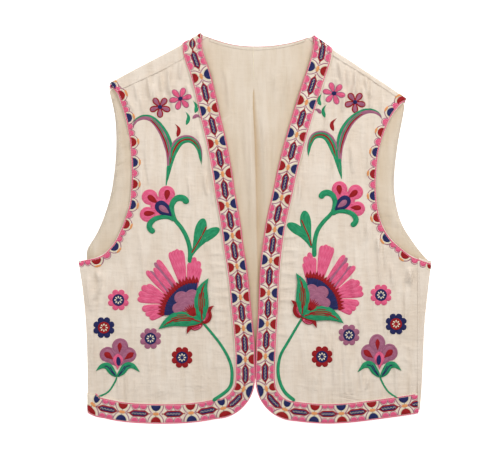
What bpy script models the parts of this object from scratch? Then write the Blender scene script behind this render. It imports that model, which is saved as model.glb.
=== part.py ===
"""Sleeveless waistcoat of cotton gauze with embroidered borders, laid flat on its back.

Sizes are in millimetres and become metres when a mesh is made. +X is the right of the laid
garment, +Y runs from hem to shoulder, +Z is up from the surface that it lies on.
Every piece is a wall of cloth: a middle surface of quads, thickened along its normals.
"""

import math
from collections import namedtuple

import bmesh
import bpy

MM = 0.001
CENTRE_Y = 1
WALL = 1.2
BORDER_WALL = 1.2
FACING_WALL = 1.0
GAP = 0.3

# Heights of a wall's middle above the surface
LOW = WALL / 2
REST = 2.3
SIDE_RISE = 2.7
OPENING_RISE = 0.9
SHOULDER_RISE = 1.1
NECK_LIFT = BORDER_WALL + GAP

# How far in from an edge each rise fades out
SIDE_REACH = 45
OPENING_REACH = 40
SHOULDER_REACH = 50
NECK_LIFT_FULL = 50
NECK_LIFT_END = 85

BORDER = 30
BORDER_SHARE = 0.21
CORNER = 60
MITRE = 27
FACING = 5
SIDE_ROLL = 4
SHOULDER_ROLL = 3.5
LOWER_SEAM = 9
LEFT_WRAP = 8
RIGHT_SEAM = 242
UNDERARM = -47
HEM_END = -272.5

CORNER_CELLS = 4
OPENING_CELLS = 24
HEM_CELLS = 14
BORDER_CELLS = 3
BODY_CELLS = 12
ARMHOLE_CELLS = CORNER_CELLS + OPENING_CELLS - BODY_CELLS
ROLL_CELLS = 6
WRAP_CELLS = 2
BACK_COLUMNS = 28
BACK_SPREAD = 1.35
SHOULDER_CELLS = 3
NECK_CELLS = 16


def table(columns, rows):
    row_type = namedtuple("Row", columns)
    return [row_type(*row) for row in rows]


# Front opening edges, from the top of the round corner to the shoulder seam
OPENING = table(
    "y left right",
    [
        (-206, 0.2, 1.2),
        (-170, -0.6, 2.5),
        (-119, -5.5, 5.5),
        (-68, -10.5, 7.5),
        (-27, -16.7, 11.5),
        (13, -22, 17.6),
        (54, -29.5, 27),
        (88, -34.5, 34),
        (131, -42.6, 45),
        (175, -53, 58),
        (207, -60, 68),
        (234, -67, 77),
        (256, -75, 84),
    ],
)

# Side folds of the laid body, from hem to underarm
SIDES = table(
    "y left right",
    [
        (-290, -245.5, 242),
        (-244, -246.6, 246),
        (-210, -247, 248),
        (-170, -248, 249.5),
        (-139, -249.5, 251),
        (-109, -252, 254),
        (-78, -256, 257.5),
        (-47, -261, 261),
        (-30, -262, 262),
    ],
)

# Armhole edges of the two fronts and of the back under them
FRONT_ARMHOLE = table(
    "y left right",
    [
        (-41, -229, 232),
        (-27, -213, 214),
        (-15, -204.5, 201),
        (1, -197, 190.5),
        (18, -191, 184.5),
        (38, -185, 180.8),
        (64, -182.8, 179),
        (88, -182.3, 180.3),
        (113, -183.4, 183),
        (137, -186, 189.5),
        (163, -191, 200),
        (183, -197, 214),
    ],
)
BACK_ARMHOLE = table(
    "y left right",
    [
        (-33, -251, 244),
        (-13, -237, 230),
        (0, -230.5, 221),
        (20, -222.5, 213),
        (44, -215, 208),
        (64, -210.5, 206),
        (84, -208, 207),
        (104, -206, 209),
        (133, -205, 213),
        (163, -206.5, 219),
        (180, -209.5, 222),
    ],
)

# Hems of the fronts, from the round corner to the side
HEM = table(
    "left left_y right right_y",
    [
        (-61, -281.5, 61, -284.5),
        (-80, -285, 85, -287),
        (-111, -287.6, 110, -288),
        (-152, -288, 140, -286.5),
        (-192, -285.6, 171, -283),
        (-220, -280.5, 211, -277.5),
    ],
)

# Fold line over each shoulder, and how far in front of it the shoulder seam lies
FOLDS = table(
    "left left_y left_drop right right_y right_drop",
    [
        (-60, 299, 21, 67, 299, 9),
        (-80, 288, 21.5, 87, 285, 9),
        (-105, 274, 20, 117, 264, 7.2),
        (-135, 258, 21, 142, 248, 6.6),
        (-174, 238, 20.5, 161.5, 235, 5.6),
        (-207, 220, 18, 201, 209, 5),
        (-220, 211.5, 18, 230, 188.5, 5),
    ],
)

BACK_NECK = table(
    "x y",
    [
        (-69.6, 284.6),
        (-50, 277.5),
        (-26, 272),
        (2.5, 270.4),
        (31, 272),
        (59, 277.2),
        (77, 283.2),
    ],
)

# The two ends of each shoulder piece: where it starts on the fold line, and how far its end
# moves outwards for each millimetre round the fold, on the face and on the underside
Shoulder = namedtuple("Shoulder", "sign neck neck_face neck_under tip tip_face tip_under")
LEFT = Shoulder(-1, 80, -0.1, -1.15, 214, -0.5, 0.2)
RIGHT = Shoulder(1, 87, 0.1, -1.11, 224, -0.4, -0.2)

# Gathers below the shoulder seams: place on the seam, drift and length down the front
GATHERS = table(
    "x drift length height width",
    [
        (-176, 8, 60, 0.9, 7),
        (-156, 4, 110, 1.5, 7),
        (-126, 2, 150, 1.6, 7),
        (-112, 6, 70, 0.9, 6),
        (122, -6, 150, 1.2, 6),
        (145, -10, 170, 1.6, 7),
        (159, -8, 120, 1.4, 6),
        (171, -4, 100, 1.2, 6),
        (190, -8, 60, 0.9, 7),
    ],
)

# Long soft folds that hang down the fronts
LONG_FOLDS = table(
    "x drift top bottom height width",
    [
        (-196, -14, -20, -235, 1.0, 11),
        (-150, -6, 60, -200, 0.7, 14),
        (-95, -10, 120, -150, 0.6, 13),
        (128, 8, 40, -240, 0.8, 10),
        (166, 6, 60, -230, 1.0, 9),
        (198, 8, -20, -240, 1.0, 9),
        (223, 6, -60, -235, 0.8, 7),
    ],
)

# Centre-back pleat: the open wedge between its two lips
PLEAT = table("y left right", [(150, -1, 1), (93, -2, 8), (41, -1, 13), (-20, 1, 17), (-90, 3, 21)])
PLEAT_LIP = 0.8
PLEAT_REACH = 26

GAUZE = ("Unbleached cotton gauze", (0.807, 0.738, 0.624), 0.92)
GAUZE_BACK = ("Cotton gauze, inside back", (0.723, 0.631, 0.521), 0.94)
EMBROIDERED = ("Embroidered cotton border", (0.76, 0.36, 0.42), 0.85)


def lerp(a, b, t):
    return a + (b - a) * t


def mix(a, b, t):
    return tuple(lerp(p, q, t) for p, q in zip(a, b))


def smooth_step(t):
    t = min(max(t, 0), 1)
    return t * t * (3 - 2 * t)


def fade(distance, reach):
    """1 at an edge, 0 from reach inwards."""
    return smooth_step(1 - distance / reach)


def spline(points, steps=10):
    """Catmull-Rom curve through points, as a dense list."""
    ends = [points[0]] + list(points) + [points[-1]]
    dense = []
    for a, b, c, d in zip(ends, ends[1:], ends[2:], ends[3:]):
        for step in range(steps):
            t = step / steps
            weights = (
                -0.5 * t + t * t - 0.5 * t**3,
                1 - 2.5 * t * t + 1.5 * t**3,
                0.5 * t + 2 * t * t - 1.5 * t**3,
                -0.5 * t * t + 0.5 * t**3,
            )
            dense.append(tuple(sum(w * p[i] for w, p in zip(weights, (a, b, c, d))) for i in (0, 1)))
    return dense + [tuple(points[-1])]


def at_lengths(dense, fractions):
    """Points at the given fractions of a dense line's length."""
    lengths = [0.0]
    for p, q in zip(dense, dense[1:]):
        lengths.append(lengths[-1] + math.dist(p, q))
    found, segment = [], 0
    for fraction in fractions:
        wanted = fraction * lengths[-1]
        while segment < len(dense) - 2 and lengths[segment + 1] < wanted:
            segment += 1
        span = lengths[segment + 1] - lengths[segment]
        share = (wanted - lengths[segment]) / span if span else 0
        found.append(mix(dense[segment], dense[segment + 1], min(share, 1)))
    return found


def even(cells):
    return [i / cells for i in range(cells + 1)]


def reader(rows, key, value):
    """Function of key read from a smooth curve through a table's column."""
    points = sorted((getattr(row, key), getattr(row, value)) for row in rows)
    dense = spline(points, 8)

    def read(at):
        if at <= dense[0][0]:
            return dense[0][1]
        for p, q in zip(dense, dense[1:]):
            if at <= q[0]:
                return lerp(p[1], q[1], (at - p[0]) / max(q[0] - p[0], 1e-9))
        return dense[-1][1]

    return read


def side_readers(name):
    """The outline functions of one side: opening, side fold, armholes, shoulder."""
    return {
        "opening": reader(OPENING, "y", name),
        "side": reader(SIDES, "y", name),
        "front_armhole": reader(FRONT_ARMHOLE, "y", name),
        "back_armhole": reader(BACK_ARMHOLE, "y", name),
        "fold": reader(FOLDS, name, name + "_y"),
        "drop": reader(FOLDS, name, name + "_drop"),
    }


READ = {-1: side_readers("left"), 1: side_readers("right")}
NECK_LINE = spline([(-82, 289)] + [tuple(row) for row in BACK_NECK] + [(89, 284)], 4)


def neck_lift(x, y):
    """Height by which the neck border under the back raises everything over it."""
    distance = min(math.dist((x, y), point) for point in NECK_LINE)
    return NECK_LIFT * smooth_step((NECK_LIFT_END - distance) / (NECK_LIFT_END - NECK_LIFT_FULL))


def seam_y(sign, x):
    return READ[sign]["fold"](x) - READ[sign]["drop"](x)


def ridge(offset, width):
    return math.exp(-((offset / width) ** 2))


def gathers_height(sign, x, y):
    total = 0.0
    for gather in GATHERS:
        if gather.x * sign < 0:
            continue
        down = max(seam_y(sign, gather.x) - y, 0)
        centre = gather.x + gather.drift * down / gather.length
        total += gather.height * ridge(x - centre, gather.width) * fade(down, gather.length)
    return total


def folds_height(sign, x, y):
    total = 0.0
    for fold in LONG_FOLDS:
        if fold.x * sign < 0 or not fold.bottom < y < fold.top:
            continue
        along = (fold.top - y) / (fold.top - fold.bottom)
        centre = fold.x + fold.drift * along
        ends = min(smooth_step(along * 4), smooth_step((1 - along) * 4))
        total += fold.height * ridge(x - centre, fold.width) * ends
    return total


def outer_edge(sign, y):
    """Side fold below the underarm, front armhole edge above it."""
    if y <= UNDERARM:
        return READ[sign]["side"](y)
    return READ[sign]["front_armhole"](y)


def front_height(sign, x, y):
    """Height of a front's middle surface."""
    inwards = sign * (x - READ[sign]["opening"](y))
    outwards = sign * (outer_edge(sign, y) - x) - SIDE_ROLL
    side_share = lerp(1, 0.2, smooth_step((y - UNDERARM) / 130))
    clear_of_border = smooth_step((inwards - BORDER - 2) / 12) * smooth_step((y + 255) / 20)
    clear_of_side = smooth_step(outwards / 25)
    return (
        REST
        + neck_lift(x, y)
        + OPENING_RISE * fade(inwards, OPENING_REACH)
        + SIDE_RISE * side_share * fade(max(outwards, 0), SIDE_REACH)
        + SHOULDER_RISE * fade(max(seam_y(sign, x) - y, 0), SHOULDER_REACH)
        + gathers_height(sign, x, y) * clear_of_border
        + folds_height(sign, x, y) * clear_of_border * clear_of_side
    )


def slope_normal(height, x, y):
    step = 1.0
    along_x = (height(x + step, y) - height(x - step, y)) / (2 * step)
    along_y = (height(x, y + step) - height(x, y - step)) / (2 * step)
    length = math.sqrt(along_x**2 + along_y**2 + 1)
    return (-along_x / length, -along_y / length, 1 / length)


class Sheet:
    """Middle surface of one piece of cloth: points, their normals and walls, and quads."""

    def __init__(self):
        self.points, self.normals, self.walls, self.faces = [], [], [], []

    def add(self, point, normal=(0, 0, 1), wall=WALL):
        self.points.append(point)
        self.normals.append(normal)
        self.walls.append(wall)
        return len(self.points) - 1

    def quads(self, grid):
        """Faces over a grid of point numbers."""
        for low, high in zip(grid, grid[1:]):
            for a, b, c, d in zip(low, low[1:], high[1:], high):
                self.faces.append((a, b, c, d))

    def shifted(self, grid, distance, wall):
        """A sheet on the same points, moved out along their normals."""
        numbers = sorted({number for row in grid for number in row})
        copy, renumber = Sheet(), {}
        for number in numbers:
            point, normal = self.points[number], self.normals[number]
            moved = tuple(p + n * distance for p, n in zip(point, normal))
            renumber[number] = copy.add(moved, normal, wall)
        copy.quads([[renumber[number] for number in row] for row in grid])
        return copy


def material(name, colour, roughness):
    found = bpy.data.materials.get(name) or bpy.data.materials.new(name)
    found.use_nodes = True
    shader = found.node_tree.nodes["Principled BSDF"]
    shader.inputs["Base Color"].default_value = (*colour, 1)
    shader.inputs["Roughness"].default_value = roughness
    shader.inputs["Metallic"].default_value = 0
    return found


def make_wall(name, sheet, look):
    """Closed solid: the sheet's two faces, joined round every free edge."""
    mesh = bmesh.new()
    corners = {}
    for side in (1, -1):
        corners[side] = []
        for point, normal, wall in zip(sheet.points, sheet.normals, sheet.walls):
            x, y, z = (p + side * n * wall / 2 for p, n in zip(point, normal))
            corners[side].append(mesh.verts.new((x * MM, (y - CENTRE_Y) * MM, z * MM)))
        for face in sheet.faces:
            mesh.faces.new([corners[side][number] for number in face[::side]])
    uses = {}
    for face in sheet.faces:
        for edge in zip(face, face[1:] + face[:1]):
            uses.setdefault(frozenset(edge), []).append(edge)
    for found in uses.values():
        if len(found) == 1:
            a, b = found[0]
            mesh.faces.new([corners[1][b], corners[1][a], corners[-1][a], corners[-1][b]])
    bmesh.ops.recalc_face_normals(mesh, faces=mesh.faces)
    if mesh.calc_volume(signed=True) < 0:
        bmesh.ops.reverse_faces(mesh, faces=mesh.faces)
    data = bpy.data.meshes.new(name)
    mesh.to_mesh(data)
    mesh.free()
    data.shade_smooth()
    data.set_sharp_from_angle(angle=math.radians(50))
    data.materials.append(material(*look))
    piece = bpy.data.objects.new(name, data)
    bpy.context.collection.objects.link(piece)
    return piece


def corner_arc(sign):
    """Quarter circle of a front's bottom corner, opening side first."""
    edge = READ[sign]["opening"](-206)
    centre_x = edge + sign * CORNER
    bottom = HEM[0].left_y if sign < 0 else HEM[0].right_y
    return [
        (centre_x - sign * CORNER * math.cos(angle), bottom + CORNER * (1 - math.sin(angle)))
        for angle in (math.radians(90 * step / 12) for step in range(13))
    ]


def rib(sign, points, k, forward):
    """Vector from the outline into the cloth, BORDER long, square to the outline."""
    before, after = points[max(k - 1, 0)], points[min(k + 1, len(points) - 1)]
    run = (after[0] - before[0], after[1] - before[1])
    length = math.hypot(*run)
    turn = sign * forward
    return (turn * run[1] / length * BORDER, -turn * run[0] / length * BORDER)


def border_ribs(sign):
    """Stations round a front's border: for each, its points from the outline inwards."""
    name = "left" if sign < 0 else "right"
    arc = corner_arc(sign)
    half = len(arc) // 2
    rising = arc[half::-1]
    opening = spline([(getattr(row, name), row.y) for row in OPENING])
    top_x = sign * (LEFT if sign < 0 else RIGHT).neck
    top = (top_x, seam_y(sign, top_x))
    up = at_lengths(rising, even(CORNER_CELLS)) + at_lengths(opening + [top], even(OPENING_CELLS))[1:]
    hem_points = [(getattr(row, name), getattr(row, name + "_y")) for row in HEM]
    side_end = (RIGHT_SEAM - GAP, HEM_END)
    if sign < 0:
        side_end = (READ[sign]["side"](HEM_END) + SIDE_ROLL, HEM_END)
    hem = at_lengths(arc[half:], even(CORNER_CELLS))
    hem += at_lengths(spline(hem_points + [side_end]), even(HEM_CELLS))[1:]
    upward = [(point, rib(sign, up, k, 1)) for k, point in enumerate(up)]
    along = [(point, rib(sign, hem, k, -1)) for k, point in enumerate(hem)]
    shared = mix(upward[0][1], along[0][1], 0.5)
    upward[0] = (upward[0][0], shared)
    mitre_x = top_x + sign * MITRE
    mitre = (MITRE * sign, seam_y(sign, mitre_x) - top[1])
    upward[-1] = (top, mitre)
    upward[-2] = (upward[-2][0], mix(upward[-2][1], mitre, 0.5))
    along[-1] = (side_end, (sign * 0.5, BORDER))
    stations = along[:0:-1] + upward
    return [
        [(p[0] + v[0] * w, p[1] + v[1] * w) for w in even(BORDER_CELLS)] for p, v in stations
    ]


def coons(bottom, top, left, right):
    """Grid of plan points between four lines of points, rows running bottom to top."""
    rows, columns = len(left) - 1, len(bottom) - 1
    grid = []
    for i in range(rows + 1):
        v = i / rows
        row = []
        for j in range(columns + 1):
            u = j / columns
            across = mix(left[i], right[i], u)
            along = mix(bottom[j], top[j], v)
            corners = mix(mix(bottom[0], bottom[-1], u), mix(top[0], top[-1], u), v)
            row.append(tuple(a + b - c for a, b, c in zip(across, along, corners)))
        grid.append(row)
    return grid


def armhole_line(sign, name, start, end):
    rows = FRONT_ARMHOLE if name == "front" else BACK_ARMHOLE
    column = "left" if sign < 0 else "right"
    return spline([start] + [(getattr(row, column), row.y) for row in rows] + [end])


def side_rows(sign, low_y, place):
    """Points up the side of the body, from low_y to the underarm."""
    rows = []
    for k in range(BODY_CELLS + 1):
        share = k / BODY_CELLS
        y = lerp(low_y, UNDERARM, lerp(share, share**1.4, 0.6) if low_y < -240 else share)
        rows.append((place(y), y))
    return rows


def shoulder_x(end, way, share):
    """X of a point on a shoulder piece: way is the distance round the fold, minus underneath."""
    neck_slope = end.neck_face if way > 0 else end.neck_under
    tip_slope = end.tip_face if way > 0 else end.tip_under
    neck = end.neck + neck_slope * abs(way)
    tip = end.tip + tip_slope * abs(way)
    return end.sign * lerp(neck, tip, share)


def seam_shares():
    """Places along the shoulder seam, shared by the front and the shoulder piece."""
    shares = [BORDER_SHARE * w for w in even(BORDER_CELLS)]
    return shares + [lerp(BORDER_SHARE, 1, k) for k in even(CORNER_CELLS + HEM_CELLS)[1:]]


def seam_points(end, clearance):
    points = []
    for share in seam_shares():
        drop = READ[end.sign]["drop"](end.sign * lerp(end.neck, end.tip, share))
        x = shoulder_x(end, drop, share)
        points.append((x, seam_y(end.sign, x) - clearance))
    return points


def roll_points(start, height_low, height_high, side, rising):
    """Half turn in the XZ plane from a shared column: offsets, heights and normals."""
    middle, half = (height_low + height_high) / 2, (height_high - height_low) / 2
    found = []
    for k in range(1, ROLL_CELLS + 1):
        angle = math.pi * k / ROLL_CELLS
        up = -math.cos(angle) if rising else math.cos(angle)
        across = math.sin(angle)
        length = math.hypot(across / SIDE_ROLL, up / half)
        normal = (side * across / SIDE_ROLL / length, 0, up / half / length)
        found.append((start + side * SIDE_ROLL * across, middle + half * up, normal))
    return found


def build_front(end):
    """A front and its border, which is the front's outer cells moved out."""
    sign = end.sign
    sheet = Sheet()

    def put(point):
        x, y = point
        height = front_height(sign, x, y)
        normal = slope_normal(lambda a, b: front_height(sign, a, b), x, y)
        return sheet.add((x, y, height), normal)

    ribs = border_ribs(sign)
    seam = seam_points(end, GAP / 2)
    ribs[-1] = seam[: BORDER_CELLS + 1]
    corner = CORNER_CELLS + HEM_CELLS
    border_grid = [[put(point) for point in station] for station in ribs]
    inner = [station[-1] for station in ribs]
    bottom, left = inner[corner::-1], inner[corner:]
    if sign < 0:
        start = (READ[sign]["side"](UNDERARM) + SIDE_ROLL, UNDERARM)
        lower = side_rows(sign, bottom[-1][1], lambda y: READ[sign]["side"](y) + SIDE_ROLL)
    else:
        start = (RIGHT_SEAM - GAP, UNDERARM + 2.5)
        lower = side_rows(sign, bottom[-1][1], lambda y: RIGHT_SEAM - GAP)
        lower[-1] = start
    lower[0] = bottom[-1]
    armhole = at_lengths(armhole_line(sign, "front", start, seam[-1]), even(ARMHOLE_CELLS))
    plan = coons(bottom, seam[BORDER_CELLS:], left, lower + armhole[1:])
    inner_numbers = [station[-1] for station in border_grid]
    grid = []
    for i, row in enumerate(plan):
        numbers = []
        for j, point in enumerate(row):
            if i == 0:
                numbers.append(inner_numbers[corner - j])
            elif j == 0:
                numbers.append(inner_numbers[corner + i])
            else:
                numbers.append(put(point))
        grid.append(numbers)
    sheet.quads(border_grid)
    sheet.quads(grid)
    border_rows = border_grid
    if sign < 0:
        border_rows = wrap_left_side(sheet, border_grid, grid) + border_grid
    distance = WALL / 2 + GAP + BORDER_WALL / 2
    border = sheet.shifted(border_rows, distance, BORDER_WALL)
    side = "left" if sign < 0 else "right"
    make_wall("front_" + side, sheet, GAUZE)
    make_wall("border_" + side, border, EMBROIDERED)


def wrap_left_side(sheet, border_grid, grid):
    """Takes the left front round its side fold to the seam underneath.

    Gives the rows of the border that turn with it, outermost first."""
    edge = border_grid[0] + [row[-1] for row in grid[1 : BODY_CELLS + 1]]
    columns = [edge]
    turned = {number: [] for number in edge}
    for number in edge:
        x, y, z = sheet.points[number]
        for place, height, normal in roll_points(x, LOW, z, -1, False):
            turned[number].append(sheet.add((place, y, height), normal))
        for k in range(1, WRAP_CELLS + 1):
            turned[number].append(sheet.add((x + LEFT_WRAP * k / WRAP_CELLS, y, LOW), (0, 0, -1)))
    for k in range(ROLL_CELLS + WRAP_CELLS):
        columns.append([turned[number][k] for number in edge])
    sheet.quads(columns)
    border_turns = ROLL_CELLS // 2 + 1
    return [columns[k][: BORDER_CELLS + 1] for k in range(border_turns, 0, -1)]


def back_relief(x, y):
    """Extra thickness on the back's inside: the lips of the centre pleat."""
    top, bottom = PLEAT[0].y, PLEAT[-1].y
    left = reader(PLEAT, "y", "left")(y)
    right = reader(PLEAT, "y", "right")(y)
    ends = smooth_step((top - y) / 60) * smooth_step((y - bottom) / 60)
    if left < x < right:
        return 0.0
    outside = left - x if x <= left else x - right
    return PLEAT_LIP * ends * fade(outside, PLEAT_REACH)


def back_top(x):
    """Top edge of the back's flat part: under the shoulder pieces, and the neck."""
    if x <= BACK_NECK[0].x:
        return READ[-1]["fold"](x) - LOWER_SEAM - GAP
    if x >= BACK_NECK[-1].x:
        return READ[1]["fold"](x) - LOWER_SEAM - GAP
    return reader(BACK_NECK, "x", "y")(x)


def back_hem(x):
    """Hem of the back, a shallow arch that stays inside the fronts' round corners."""
    return lerp(-222, -268, smooth_step(abs(x) / 240))


def build_back():
    sheet = Sheet()

    def put(point):
        x, y = point
        wall = WALL + back_relief(x, y)
        return sheet.add((x, y, neck_lift(x, y) + wall / 2), (0, 0, 1), wall)

    inset = SIDE_ROLL + LEFT_WRAP + GAP
    left_x = READ[-1]["side"](-250) + inset
    right_x = READ[1]["side"](-250) - SIDE_ROLL
    places = [2 * k / BACK_COLUMNS - 1 for k in range(BACK_COLUMNS + 1)]
    shares = [0.5 + 0.5 * math.copysign(abs(t) ** BACK_SPREAD, t) for t in places]
    bottom = [(lerp(left_x, right_x, s), back_hem(lerp(left_x, right_x, s))) for s in shares]
    left_tip = shoulder_x(LEFT, -LOWER_SEAM, 1)
    right_tip = shoulder_x(RIGHT, -LOWER_SEAM, 1)
    top_x = [lerp(left_tip, right_tip, s) for s in shares]
    neck_left, neck_right = BACK_NECK[0].x, BACK_NECK[-1].x
    top_x[nearest(top_x, neck_left)] = neck_left
    top_x[nearest(top_x, neck_right)] = neck_right
    top = [(x, back_top(x)) for x in top_x]
    left = side_rows(-1, bottom[0][1], lambda y: READ[-1]["side"](y) + inset)
    right = side_rows(1, bottom[-1][1], lambda y: READ[1]["side"](y) - SIDE_ROLL)
    left += at_lengths(armhole_line(-1, "back", left[-1], top[0]), even(ARMHOLE_CELLS))[1:]
    right += at_lengths(armhole_line(1, "back", right[-1], top[-1]), even(ARMHOLE_CELLS))[1:]
    grid = [[put(point) for point in row] for row in coons(bottom, top, left, right)]
    sheet.quads(grid)
    wrap_right_side(sheet, [row[-1] for row in grid[: BODY_CELLS + 1]])
    make_wall("back", sheet, GAUZE_BACK)


def nearest(values, wanted):
    return min(range(len(values)), key=lambda k: abs(values[k] - wanted))


def wrap_right_side(sheet, edge):
    """Takes the back round the right side fold, up to its seam on the front."""
    columns = [edge]
    turned = []
    for row, number in enumerate(edge):
        x, y, z = sheet.points[number]
        high = front_height(1, x, y)
        rise = 4.5 * smooth_step((row - BODY_CELLS + 2) / 2)
        made = []
        for place, height, normal in roll_points(x, z, high, 1, True):
            made.append(sheet.add((place, y, height), normal))
        for k in range(1, WRAP_CELLS + 1):
            share = k / WRAP_CELLS
            top_y = y + rise * share
            place = lerp(x, RIGHT_SEAM, share)
            height = front_height(1, place, top_y)
            made.append(sheet.add((place, top_y, height), (0, 0, 1)))
        turned.append(made)
    for k in range(ROLL_CELLS + WRAP_CELLS):
        columns.append([made[k] for made in turned])
    sheet.quads(columns)


def shoulder_section(end, share):
    """Way round the fold, height and normal from the underside seam to the one on the face."""
    sign = end.sign
    face_x = shoulder_x(end, 1, share)
    drop = READ[sign]["drop"](face_x)
    seam = READ[sign]["fold"](face_x) - drop
    high = front_height(sign, face_x, seam)
    under_x = shoulder_x(end, -LOWER_SEAM, share)
    low = LOW + neck_lift(under_x, READ[sign]["fold"](under_x) - LOWER_SEAM)
    middle, half = (low + high) / 2, (high - low) / 2
    section = []
    for distance in (LOWER_SEAM, (LOWER_SEAM + SHOULDER_ROLL) / 2):
        section.append((-distance, low, (0, 0, -1)))
    for k in range(ROLL_CELLS + 1):
        angle = math.pi * k / ROLL_CELLS
        out, up = math.sin(angle), -math.cos(angle)
        length = math.hypot(out / SHOULDER_ROLL, up / half)
        way = SHOULDER_ROLL * (1 - out) * (1 if k > ROLL_CELLS / 2 else -1)
        normal = (0, out / SHOULDER_ROLL / length, up / half / length)
        section.append((way, middle + half * up, normal))
    for k in range(1, SHOULDER_CELLS + 1):
        distance = lerp(SHOULDER_ROLL, drop - GAP / 2, k / SHOULDER_CELLS)
        section.append((distance, high, (0, 0, 1)))
    return section


def build_shoulder(end):
    """Shoulder end of the back, over the fold to the forward seam, and its border cells."""
    sheet = Sheet()
    rows = []
    for share in seam_shares():
        numbers = []
        for way, height, normal in shoulder_section(end, share):
            x = shoulder_x(end, way, share)
            y = READ[end.sign]["fold"](x) - abs(way)
            numbers.append(sheet.add((x, y, height), normal))
        rows.append(numbers)
    sheet.quads(rows)
    make_wall("shoulder_left" if end.sign < 0 else "shoulder_right", sheet, GAUZE_BACK)
    return sheet, [list(column) for column in zip(*rows[: BORDER_CELLS + 1])]


def build_neck_border(left, right):
    """Border round the outside of the back neck, over both shoulder folds."""
    distance = WALL / 2 + GAP + BORDER_WALL / 2
    border = Sheet()

    def copied(sheet, columns):
        made = []
        for column in columns:
            numbers = []
            for number in column:
                point, normal = sheet.points[number], sheet.normals[number]
                moved = [p + n * distance for p, n in zip(point, normal)]
                moved[2] = max(moved[2], BORDER_WALL / 2)
                numbers.append(border.add(tuple(moved), normal, BORDER_WALL))
            made.append(numbers)
        return made

    left_columns = copied(*left)[::-1]
    right_columns = copied(*right)
    end_ribs = []
    for column in (left_columns[-1], right_columns[0]):
        first, last = border.points[column[0]], border.points[column[-1]]
        end_ribs.append((last[0] - first[0], last[1] - first[1]))
    edge = at_lengths(spline([tuple(row) for row in BACK_NECK]), even(NECK_CELLS))
    middle = []
    for share, (x, y) in list(zip(even(NECK_CELLS), edge))[1:-1]:
        end_rib = end_ribs[0] if share < 0.5 else end_ribs[1]
        across, down = mix((0, -BORDER), end_rib, fade(min(share, 1 - share), 0.35))
        numbers = []
        for w in even(BORDER_CELLS):
            point = (x + across * w, y + down * w, BORDER_WALL / 2)
            numbers.append(border.add(point, (0, 0, -1), BORDER_WALL))
        middle.append(numbers)
    border.quads(left_columns + middle + right_columns)
    make_wall("neck_border", border, EMBROIDERED)


def build_neck_facing():
    """Turned strip along the inside of the back neck."""
    sheet = Sheet()
    height = NECK_LIFT + WALL + GAP + FACING_WALL / 2
    margin = 0.02
    shares = [lerp(margin, 1 - margin, share) for share in even(NECK_CELLS)]
    rows = []
    for x, y in at_lengths(spline([tuple(row) for row in BACK_NECK]), shares):
        rows.append([sheet.add((x, y - depth, height), wall=FACING_WALL) for depth in (0.4, FACING)])
    sheet.quads(rows)
    make_wall("neck_facing", sheet, GAUZE)


def clear_scene():
    for old in list(bpy.data.objects):
        bpy.data.objects.remove(old, do_unlink=True)


def main():
    clear_scene()
    build_back()
    left = build_shoulder(LEFT)
    right = build_shoulder(RIGHT)
    build_front(LEFT)
    build_front(RIGHT)
    build_neck_border(left, right)
    build_neck_facing()


main()
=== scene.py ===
"""Looks of an embroidered gauze waistcoat, laid flat and seen from straight above.

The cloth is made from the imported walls, subdivided and creased. The embroidery is raised
stitching that lies on that cloth, one mesh for each thread colour on each panel.
Lengths are in millimetres on the garment until a mesh is made.
"""

import math
import bpy
import numpy as np
from collections import namedtuple
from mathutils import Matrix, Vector
from mathutils.bvhtree import BVHTree


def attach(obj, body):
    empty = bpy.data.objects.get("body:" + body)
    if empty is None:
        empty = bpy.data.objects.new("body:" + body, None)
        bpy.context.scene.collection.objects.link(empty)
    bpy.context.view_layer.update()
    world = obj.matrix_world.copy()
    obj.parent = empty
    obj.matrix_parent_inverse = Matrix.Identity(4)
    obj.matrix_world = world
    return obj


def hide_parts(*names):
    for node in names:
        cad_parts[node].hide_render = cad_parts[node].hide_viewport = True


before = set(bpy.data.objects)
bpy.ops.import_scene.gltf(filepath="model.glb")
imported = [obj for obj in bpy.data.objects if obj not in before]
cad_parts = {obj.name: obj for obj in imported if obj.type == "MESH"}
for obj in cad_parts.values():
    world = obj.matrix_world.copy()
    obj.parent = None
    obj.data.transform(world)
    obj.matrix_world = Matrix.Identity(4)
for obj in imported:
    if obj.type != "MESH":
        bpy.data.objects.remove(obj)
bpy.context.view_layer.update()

MM = 0.001

# The photograph's scale and the pixel that lies over the garment's origin
PHOTO_MM = 1.48
PHOTO_X, PHOTO_Y = 254.8, 228.22
PHOTO_WIDTH, PHOTO_HEIGHT = 480, 467

BORDER = 30
CORNER = 60
EDGING = 2.1
RIGHT_SEAM_X, UNDERARM_Y = 241.6, -45.32

# Share of its wall's thickness that the neck facing keeps, and the room for stitches under the neck border
FACING_SHARE = 0.3
UNDER_STITCHES = 0.5


def table(columns, rows):
    row_type = namedtuple("Row", columns)
    return [row_type(*row) for row in rows]


def lerp(a, b, t):
    return a + (b - a) * t


def smooth_step(t):
    t = np.clip(t, 0, 1)
    return t * t * (3 - 2 * t)


def on_garment(px, py):
    """Place in millimetres under a pixel of the photograph."""
    return ((px - PHOTO_X) * PHOTO_MM, (PHOTO_Y - py) * PHOTO_MM)


def all_on_garment(spots):
    return [on_garment(*spot) for spot in spots]


def lengths_along(line):
    """Distance of each point of a line from its start."""
    return np.concatenate([[0], np.cumsum(np.hypot(*np.diff(line, axis=0).T))])


def length_of(line):
    return np.hypot(*np.diff(line, axis=0).T).sum()


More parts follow.
